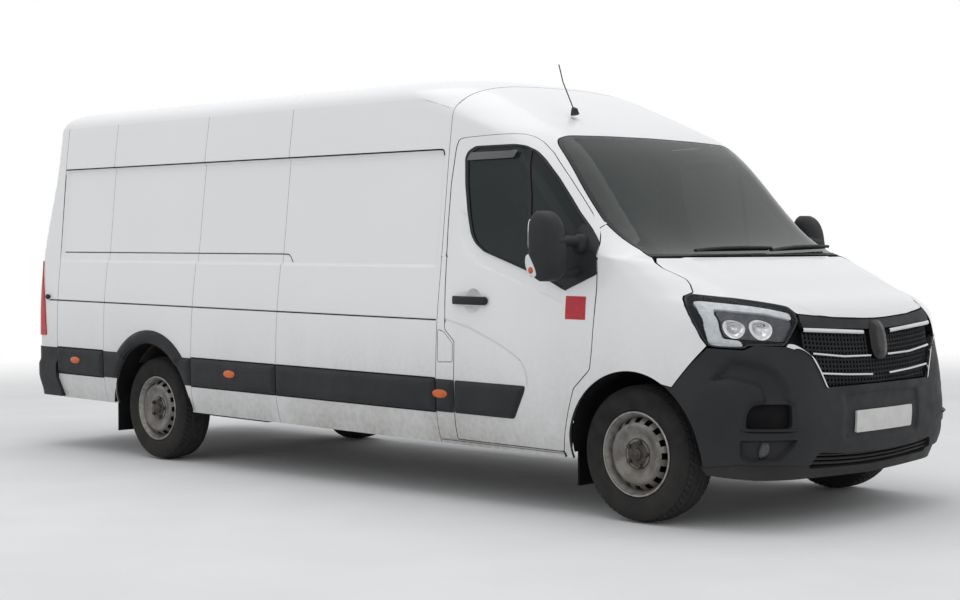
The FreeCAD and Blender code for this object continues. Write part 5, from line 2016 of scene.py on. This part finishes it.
@dataclass
class Roof(Assembly):
    """The load body's roof with its shallow lengthwise ribs, and the aerial."""

    rib: float = 5.0

    def chart(self, place: Array) -> Array:
        """Roof points over (x, u): u runs down from the middle as q runs up the side.

        Args:
            place: Rows of (x, u).

        Returns:
            Rows of x, y, z.
        """
        x, u = place[:, 0], place[:, 1]
        q = BODY.q[-1] - np.abs(u)
        half = HALF_WIDTH - monotone(BODY.q, BODY.tuck, q)
        half = np.where(np.abs(u) < 20, np.abs(u), half)
        y = np.sign(u) * half
        point = BODY.roof(rows_of(x, y))
        bend = np.clip((-5600 - x) / 62, 0, 1)
        inset = 62 * (1 - np.sqrt(1 - bend ** 2))
        point[:, 1] -= np.sign(u) * inset * smoothstep(300, 700, np.abs(y))
        fall = np.clip((-5560 - x) / 110, 0, 1)
        point[:, 2] -= 46 * fall ** 2.2
        return point

    def build(self) -> list[Piece]:
        """The roof's skin and the aerial.

        Returns:
            The roof, its rear panel and the aerial.
        """
        edge = BODY.q[-1] - BODY.q_at(GUTTER)
        seam = SEAM_AT[-1][0] - GAP
        across = np.linspace(-edge, edge, 40)
        loop = np.vstack([rows_of(seam, across), rows_of(-5662.0, across[::-1])])
        features = [Groove(np.array([(-1760.0, y), (-5400.0, y)]), 46, self.rib)
                    for y in (-620, -310, 0, 310, 620)]
        panel = skin([loop], 62, 14, features=features, chart=self.chart)
        pieces = [Piece("load_roof", panel, PAINT, replaces=("cargo_roof",)),
                  Piece("rear_header", self.header(edge), PAINT)]
        return pieces + self.aerial()

    def header(self, edge: float) -> Part:
        """The panel between the rear doors' tops and the roof's rear edge.

        Args:
            edge: How far u runs to each side.

        Returns:
            The panel.
        """
        u = np.linspace(-edge, edge, 60)
        top = self.chart(rows_of(-5662.0, u))[:, 1:]
        top[:, 1] = np.maximum(top[:, 1] - 3, 2282)
        width = BODY.half_at(2270.0) - 96
        base = np.array([(width, 2279), (width, 2267), (-width, 2267), (-width, 2279)])
        return skin([np.vstack([top, base])], 42, 26, centre=VAN_MIDDLE, chart=rear_face)

    @staticmethod
    def aerial() -> list[Piece]:
        """The aerial's foot and rod on the cab roof.

        Returns:
            The aerial.
        """
        base = np.array([(-906.0, -450, 2176), (-912, -450, 2204), (-924, -450, 2216)])
        foot = tube(base, np.array([26.0, 20, 8]), 18)
        line = np.array([(-916.0, -450, 2206), (-1000, -450, 2368), (-1032, -450, 2470)])
        rod = tube(densify(line, 20, False), 3.4, 8)
        return [Piece("aerial_rod", joined([foot, rod]), PLASTIC, replaces=("aerial",))]


@dataclass
class RearEnd(Assembly):
    """The rear doors with their glass blanks and hinges, and the bumper and lamps."""

    foot: float = 566.0
    head: float = 2262.0

    def door(self, side: Side) -> list[Piece]:
        """One rear door's pieces.

        Args:
            side: Its side.

        Returns:
            The skin, lining and hinges.
        """
        heights = np.linspace(self.foot, self.head, 24)
        edge = BODY.half_at(heights) - 92
        outer = rows_of(edge, heights)
        loop = np.vstack([[(4, self.head), (4, self.foot)], outer])
        pane = rounded([(90, 2040), (90, 1420), (770, 1420), (720, 2040)], 50)
        press = rounded([(110, 1220), (110, 760), (820, 760), (810, 1220)], 40)
        features = [Field(pane, 9, 24), Field(press, 8, 24),
                    Groove(np.array([(0.0, 1300), (905.0, 1300)]), 12, 5)]
        panel = skin([rounded(loop, 10)], 38, 24, features, centre=VAN_MIDDLE, chart=rear_face)
        lining = skin([grown(loop, -40)], 80, 0, centre=VAN_MIDDLE, lift=-38, chart=rear_face)
        hinges = [tube([(x, BODY.half_at(z) - 88, z + end) for end in (-38, 38)], 13, 14)
                  for x, z in ((-5786, 830), (-5768, 1440), (-5658, 2080))]
        body = f"rear_door_{side.word}"
        word = side.word
        return [Piece(f"rear_door_skin_{word}", panel.on(side), PAINT, body, (body,)),
                Piece(f"rear_door_lining_{word}", lining.on(side), PANELLING, body),
                Piece(f"rear_hinges_{word}", joined(hinges).on(side), PAINT, body)]

    @staticmethod
    def lamps(side: Side) -> list[Piece]:
        """A tail lamp that wraps round the corner, with two small windows behind.

        Args:
            side: Its side.

        Returns:
            The lens and the two windows.
        """
        edge = rounded([(-5676, 752), (-5700, 1000), (-5742, 1180), (-5772, 1305),
                        (CORNER_X - 56, 1305), (CORNER_X - 56, 752)], 12)
        windows = [rounded([(CORNER_X - 6, high), (CORNER_X - 50, high), (CORNER_X - 50, low),
                            (CORNER_X - 6, low)], 6) for low, high in ((905, 990), (1000, 1090))]
        word = side.word
        lens = skin([edge], 20, 24, lift=8, chart=load_side)
        clear, amber = (skin([w], 12, 3, lift=10, chart=load_side) for w in windows)
        return [Piece(f"tail_lamp_lens_{word}", lens.on(side), RED,
                      replaces=("tail_lamps",) if side is Side.RIGHT else ()),
                Piece(f"tail_lamp_amber_{word}", amber.on(side), AMBER),
                Piece(f"tail_lamp_clear_{word}", clear.on(side), GUIDE)]

    def build(self) -> list[Piece]:
        """Both doors and lamps, the bumper and the blank plate.

        Returns:
            The rear's pieces.
        """
        pieces = [piece for side in Side for piece in self.door(side) + self.lamps(side)]
        arc = self.bumper_line()
        turn = float(np.interp(5855, -arc[:, 0][::-1], arc[:, 2][::-1]))
        run = float(arc[-1, 2])
        front = [(run - 138, 667), (run - 140, 500), (run - 118, 304)]
        half = np.array([(0, 320), (0, 560), (turn - 30, 560), (turn + 20, 575),
                         (turn + 40, 667)] + front, float)
        shell = skin([rounded(symmetric(half), 8)], 34, 30,
                     centre=(-5300, 0, 480), chart=self.bumper_chart)
        pieces.append(Piece("rear_bumper_skin", shell, PLASTIC, replaces=("rear_bumper",)))
        return pieces + self.plate()

    @staticmethod
    def bumper_line() -> Array:
        """Half the bumper's plan: rows of x, y and the run from the middle of the rear.

        Returns:
            The rows.
        """
        angle = np.linspace(0, math.pi / 2, 13)
        x = np.concatenate([[-6004.0, -6000, -5978, -5915], -5745 - 110 * np.cos(angle), [-5400]])
        y = np.concatenate([[0.0, 540, 690, 860], 936 + 110 * np.sin(angle), [1046]])
        run = np.concatenate([[0], np.cumsum(np.hypot(np.diff(x), np.diff(y)))])
        return rows_of(x, y, run)

    def bumper_chart(self, place: Array) -> Array:
        """Bumper points over (t, z): t is the run round the bumper from its middle.

        Args:
            place: Rows of (t, z).

        Returns:
            Rows of x, y, z.
        """
        x, y, run = self.bumper_line().T
        t, z = place[:, 0], place[:, 1]
        tuck = 26 * smoothstep(470, 300, z) + 10 * smoothstep(540, 572, z)
        across = np.interp(np.abs(t), run, y)
        back = np.interp(np.abs(t), run, x)
        return rows_of(back + tuck, np.sign(t) * (across - tuck * across / 1046), z)

    @staticmethod
    def plate() -> list[Piece]:
        """The blank rear plate on the left door, and the tread on the bumper's step.

        Returns:
            The plate and the tread.
        """
        line = rounded([(180, 700), (700, 700), (700, 590), (180, 590)], 8)
        blank = skin([line], 60, 6, centre=VAN_MIDDLE, lift=4, chart=rear_face)
        x, y, _ = RearEnd.bumper_line().T
        half = rows_of(x[y < 930] + 10, y[y < 930])
        ring = np.vstack([half, [(-5712, 900)], [(-5712, -900)], half[:0:-1] * (1, -1)])
        tread = capped(np.stack([np.column_stack([ring, np.full(len(ring), z)])
                                 for z in (540.0, 557.0)]))
        return [Piece("rear_plate_blank", blank, YELLOW, "rear_door_left"),
                Piece("rear_step_tread", tread, DARK)]


@dataclass
class FuelFlap(Assembly):
    """The fuel flap on the right, behind the door."""

    def build(self) -> list[Piece]:
        """The flap's skin.

        Returns:
            The skin.
        """
        edge = flipped(on_side(FLAP, True, 12))
        return [Piece("fuel_flap_skin", skin([edge], 24, 12), PAINT, "fuel_flap", ("fuel_flap",))]


@dataclass
class Wheel(Assembly):
    """A tyre with its tread, and a pressed steel rim with slots, bolts and hub."""

    axle: str
    side: Side
    slots: int = 16
    bolts: int = 5
    bolt_circle: float = 65.0
    slot_low: float = 160.0
    slot_high: float = 188.0
    barrel: tuple = ((218, 108), (222, 104), (221, 98), (214, 94), (206, 88), (199, 60),
                     (190, 20), (188, -40), (200, -70), (208, -92), (221, -98), (222, -104),
                     (218, -107), (203, -90), (186, -70), (182, -40), (183, 20), (192, 58),
                     (199, 84), (210, 96), (213, 106))

    def centre(self) -> Array:
        """The wheel's centre in row-frame millimetres."""
        x = FRONT_AXLE_X if self.axle == "front" else FRONT_AXLE_X - WHEELBASE
        return np.array([x, TRACK_HALF[self.axle], TYRE_RADIUS])

    def tyre(self) -> tuple[Part, Part]:
        """The tyre's walls and its tread with blocks.

        The profile runs round the section; the tread's radius drops in lengthwise grooves and
        in slanting cuts whose phase turns with the angle.

        Returns:
            The walls and the tread.
        """
        wall = [(221, 92), (228, 104), (246, 109), (276, 116), (306, 116), (330, 108), (343, 96)]
        inner = [(r, -y) for r, y in reversed(wall)]
        sides = joined([turned_profile(wall, 120), turned_profile(inner, 120)])
        across = np.linspace(96, -96, 65)
        crown = TYRE_RADIUS - 11 * (np.abs(across) / 96) ** 2.6
        tread = turned_profile(list(zip(crown, across)), 372, self.blocks)
        return sides, tread

    @staticmethod
    def blocks(angle: Array, line: Array) -> Array:
        """How far the tread drops in its ring grooves and slanting cuts.

        Args:
            angle: Angles round the wheel.
            line: The profile's rows of (radius, y).

        Returns:
            The change of radius over the profile and the angles.
        """
        y = line[:, 1:2]
        ring = sum(np.exp(-((y - c) / 4.0) ** 4) for c in (-58, -20, 20, 58))
        cut = smoothstep(0.55, 0.85, np.cos(angle * 62 + np.abs(y) * 0.12))
        cut = cut * (0.35 + 0.65 * smoothstep(40, 70, np.abs(y)))
        return -7.0 * np.clip(ring + cut, 0, 1)

    def disc(self) -> Part:
        """The rim's pressed disc over (radius, angle), with its slots left open.

        Returns:
            The disc, with its back a sheet's thickness behind.
        """
        form = np.array([(58, 88), (70, 90), (84, 86), (96, 84), (108, 86), (122, 93), (134, 100),
                         (144, 104), (150, 105), (156, 103), (163, 97), (176, 84), (188, 66),
                         (199, 48)], float)
        radius = np.sort(np.concatenate([form[:, 0], [64, 170, 182, 194]]))
        depth = np.interp(radius, form[:, 0], form[:, 1])
        steps = self.slots * 12
        angle = np.arange(steps) / steps * 2 * math.pi
        x = radius[:, None] * np.sin(angle)
        z = radius[:, None] * np.cos(angle)
        y = np.repeat(depth[:, None], steps, 1)
        part = sheet(rows_of(x, y, z), wrap_v=True)
        quads = part.faces[0]
        middle = part.points[quads].mean(1)
        r = np.hypot(middle[:, 0], middle[:, 2])
        turn = np.arctan2(middle[:, 0], middle[:, 2]) * self.slots / (2 * math.pi)
        phase = np.abs(turn - np.round(turn))
        kept = ~((r > self.slot_low) & (r < self.slot_high) & (phase < 0.29))
        front = Part(part.points, [quads[kept]])
        back = Part(part.points - (0, 4, 0), [quads[kept][:, ::-1]])
        return joined([front, back])

    def hub(self) -> Part:
        """The hub's cap with the wheel bolts round it.

        Returns:
            The cap and bolts as one part.
        """
        cap = turned_profile([(0.5, 106), (22, 106), (30, 102), (33, 92), (48, 91), (82, 88),
                              (84, 82)], 48)
        bolt = turned_profile([(0.5, 108), (9, 107), (12, 104), (12, 90), (15, 86)], 6)
        bolts = []
        for index in range(self.bolts):
            turn = index / self.bolts * 2 * math.pi + 0.3
            bolts.append(bolt.moved(self.bolt_circle * math.sin(turn), 0,
                                    self.bolt_circle * math.cos(turn)))
        return joined([cap] + bolts)

    def build(self) -> list[Piece]:
        """The tyre, tread, rim, disc and hub of one wheel.

        Returns:
            The wheel's pieces.
        """
        name = f"{self.axle}_{self.side.word}"
        ring = turned_profile(self.barrel + self.barrel[:1], 96)
        dark = turned_profile([(0.5, 30), (120, 30), (186, 26)], 40)
        walls, tread = self.tyre()
        hub = self.hub()
        groups = (("tyre_walls", walls, RUBBER, (f"tyre_{name}",)),
                  ("tyre_tread", tread, TREAD, ()),
                  # The barrel takes the lighter copy of the enamel as a painted highlight.
                  ("rim_barrel", ring, FLANGE_HIGHLIGHT, (f"rim_{name}",)),
                  ("rim_disc", self.disc(), STEEL, ()), ("rim_hub", hub, HUB, ()),
                  ("rim_shadow", dark, DARK, ()))
        pieces = []
        for label, part, finish, replaced in groups:
            placed = Part(part.points + self.centre(), part.faces).on(self.side)
            pieces.append(Piece(f"{label}_{name}", placed, finish, f"wheel_{name}", replaced,
                                row_frame=True, slot="wheel_steel" if finish is DARK else ""))
        return pieces


@dataclass
class Seats(Assembly):
    """The driver's seat on the right and the double seat on the left."""

    places: tuple = (("driver", -480, 235), ("middle", 180, 215), ("outer", 560, 215))

    def build(self) -> list[Piece]:
        """Cushions, backs and head restraints, and the box beneath.

        Returns:
            The seats' pieces.
        """
        pieces = []
        for name, y, half in self.places:
            cushion = pillow((-1010, y, 905), (250, half, 72), 3.4, 30)
            back = pillow((-1232, y, 1220), (74, half - 8, 300), 3.4, 34)
            back = self.leaned(back, (-1232, y, 930), 12)
            rest = pillow((-1322, y, 1612), (42, 120, 74), 3.2, 20)
            pieces += [Piece(f"seat_cushion_{name}", self.channelled(cushion, y, half), CLOTH,
                             padded=0.75, replaces=("seats",) if name == "driver" else ()),
                       Piece(f"seat_back_{name}", back, CLOTH, padded=0.75),
                       Piece(f"head_rest_{name}", rest, CLOTH, padded=0.85)]
        boxes = [bar((-1240, -690, 640), (-780, -270, 832), 12),
                 bar((-1240, -20, 640), (-780, 760, 832), 12)]
        pieces.append(Piece("seat_boxes", joined(boxes), TRIM))
        return pieces

    @staticmethod
    def leaned(part: Part, pivot: tuple[float, float, float], degrees: float) -> Part:
        """A part leaned back about a line across the van.

        Args:
            part: The part.
            pivot: A point on the line.
            degrees: How far.

        Returns:
            The leaned part.
        """
        turn = np.array(Matrix.Rotation(math.radians(-degrees), 3, "Y"))
        return Part((part.points - pivot) @ turn.T + pivot, part.faces)

    @staticmethod
    def channelled(part: Part, y: float, half: float) -> Part:
        """A cushion with two sewn channels along it, where the cloth is pulled down.

        Args:
            part: The cushion.
            y: Its middle.
            half: Half its width.

        Returns:
            The cushion with its channels.
        """
        across = (part.points[:, 1] - y) / half
        upper = smoothstep(880, 950, part.points[:, 2])
        pull = sum(np.exp(-((across - c) / 0.045) ** 2) for c in (-0.55, 0.55))
        return Part(part.points - rows_of(0, 0, 11 * pull * upper), part.faces)


@dataclass
class CarriedOver:
    """The CAD nodes that stay in view, with the finish of each."""

    finishes: dict = field(default_factory=lambda: {
        "arch_liners": DARK, "bulkhead": PANELLING, "chassis_rails": CHASSIS,
        "cross_members": CHASSIS, "dashboard": TRIM, "engine": HUB, "exhaust": GALVANISED,
        "front_subframe": CHASSIS, "fuel_tank": DARK, "knuckle_left": HUB,
        "knuckle_right": HUB, "leaf_springs": CHASSIS, "load_floor": FLOORING,
        "propshaft": CHASSIS, "rear_axle": HUB, "spare_wheel": RUBBER})

    def dress(self, nodes: dict) -> None:
        """Gives each node its finish.

        Args:
            nodes: The frame's objects by name.
        """
        for name, finish in self.finishes.items():
            thing = nodes[name]
            thing.data.materials.clear()
            thing.data.materials.append(finish_of(finish))
            LOG.info("%s: carried over as %s", name, finish.name)


@dataclass
class Studio:
    """The floor, the soft lights and the photograph's camera."""

    camera_place: tuple = (8.2031, -7.7118, 1.3646)
    yaw: float = 0.7875009
    pitch: float = -0.0235193
    roll: float = -0.0096409
    focal: float = 63.786
    lamps: tuple = (("sky_panel", (0, 0, 9), (0, 0, 0), 10, 295),
                    ("front_panel", (12, -6, 6), (0, 0, 1), 7, 70),
                    ("side_panel", (-2, -12, 5), (0, 0, 1), 8, 80))
    sky: tuple = (0.96, 0.975, 1.0, 1)
    sky_strength: float = 0.68

    def camera(self) -> None:
        """Stands the camera where the photograph was taken from."""
        forward = Vector((-math.sin(self.yaw) * math.cos(self.pitch),
                          math.cos(self.yaw) * math.cos(self.pitch), math.sin(self.pitch)))
        right = Vector((math.cos(self.yaw), math.sin(self.yaw), 0))
        up = right.cross(forward)
        cos, sin = math.cos(self.roll), math.sin(self.roll)
        turned_right, turned_up = right * cos + up * sin, up * cos - right * sin
        basis = Matrix((turned_right, turned_up, -forward)).transposed().to_4x4()
        data = bpy.data.cameras.new("photo_camera")
        data.lens, data.sensor_width, data.clip_end = self.focal, 36, 2000
        thing = bpy.data.objects.new("photo_camera", data)
        thing.matrix_world = Matrix.Translation(self.camera_place) @ basis
        bpy.context.scene.collection.objects.link(thing)
        bpy.context.scene.camera = thing
        bpy.context.scene.view_settings.view_transform = "Standard"

    def light(self, name: str, place: tuple, target: tuple, size: float, power: float) -> None:
        """Adds a square soft light that faces a target.

        Args:
            name: Its name.
            place: Where it stands, in metres.
            target: What it faces.
            size: Its width in metres.
            power: Its watts.
        """
        data = bpy.data.lights.new(name, "AREA")
        data.size, data.energy = size, power
        thing = bpy.data.objects.new(name, data)
        way = Vector(target) - Vector(place)
        thing.location = place
        thing.rotation_euler = way.to_track_quat("-Z", "Y").to_euler()
        bpy.context.scene.collection.objects.link(thing)

    def floor(self) -> None:
        """Lays a wide pale disc, as rings of quads, under the van."""
        radius = np.array([0.5, 2, 5, 10, 20, 40, 80, 200, 900]) * 1000
        ring = turned_profile([(r, 0) for r in radius], 48)
        points = np.vstack([ring.points[:, [0, 2, 1]] / 1000, [(0, 0, 0)]]) - (0, 0, 0.002)
        first = np.arange(48)
        fan = np.stack([np.roll(first, -1), first, np.full(48, len(ring.points))], 1)
        mesh = bpy.data.meshes.new("studio_floor")
        mesh.from_pydata(points.tolist(), [], ring.faces[0].tolist() + fan.tolist())
        mesh.materials.append(finish_of(GROUND))
        thing = bpy.data.objects.new("studio_floor", mesh)
        bpy.context.scene.collection.objects.link(thing)

    def world(self) -> None:
        """Lights the scene with an even sky, which the camera, metal and glass see as white."""
        world = bpy.data.worlds.new("studio_world")
        bpy.context.scene.world = world
        world.use_nodes = True
        tree = world.node_tree
        tree.nodes.clear()
        out = tree.nodes.new("ShaderNodeOutputWorld")
        mix = tree.nodes.new("ShaderNodeMixShader")
        sky = tree.nodes.new("ShaderNodeBackground")
        sky.inputs["Color"].default_value = self.sky
        sky.inputs["Strength"].default_value = self.sky_strength
        seen = tree.nodes.new("ShaderNodeBackground")
        seen.inputs["Color"].default_value = (1, 1, 1, 1)
        tree.links.new(plain_rays(tree), mix.inputs[0])
        tree.links.new(sky.outputs[0], mix.inputs[1])
        tree.links.new(seen.outputs[0], mix.inputs[2])
        tree.links.new(mix.outputs[0], out.inputs["Surface"])

    def build(self) -> None:
        """Makes the floor, sky, lights and camera."""
        self.floor()
        self.world()
        for lamp in self.lamps:
            self.light(*lamp)
        self.camera()


def assemblies() -> list[Assembly]:
    """Every assembly of the van.

    Returns:
        The assemblies in the order in which they are built.
    """
    both = list(Side)
    listed: list[Assembly] = [CabShell(), CabTub(), Windscreen(), Bonnet(), Bumper(), Grille(),
                              Headlamps(), Roof(), RearEnd(), FuelFlap(), Seats()]
    for side in both:
        listed += [Wing(side), Door(side), LoadSide(side)]
        listed += [Wheel(axle, side) for axle in TRACK_HALF]
    return listed


def main() -> None:
    """Loads the frame, builds and dresses the van."""
    for thing in list(bpy.data.objects):
        bpy.data.objects.remove(thing)
    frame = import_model()
    Studio().build()
    for assembly in assemblies():
        assembly.dress(assembly.build())
    CarriedOver().dress(frame["nodes"])


if __name__ == "__main__":
    logging.basicConfig(level=logging.INFO, format="%(message)s")
    main()
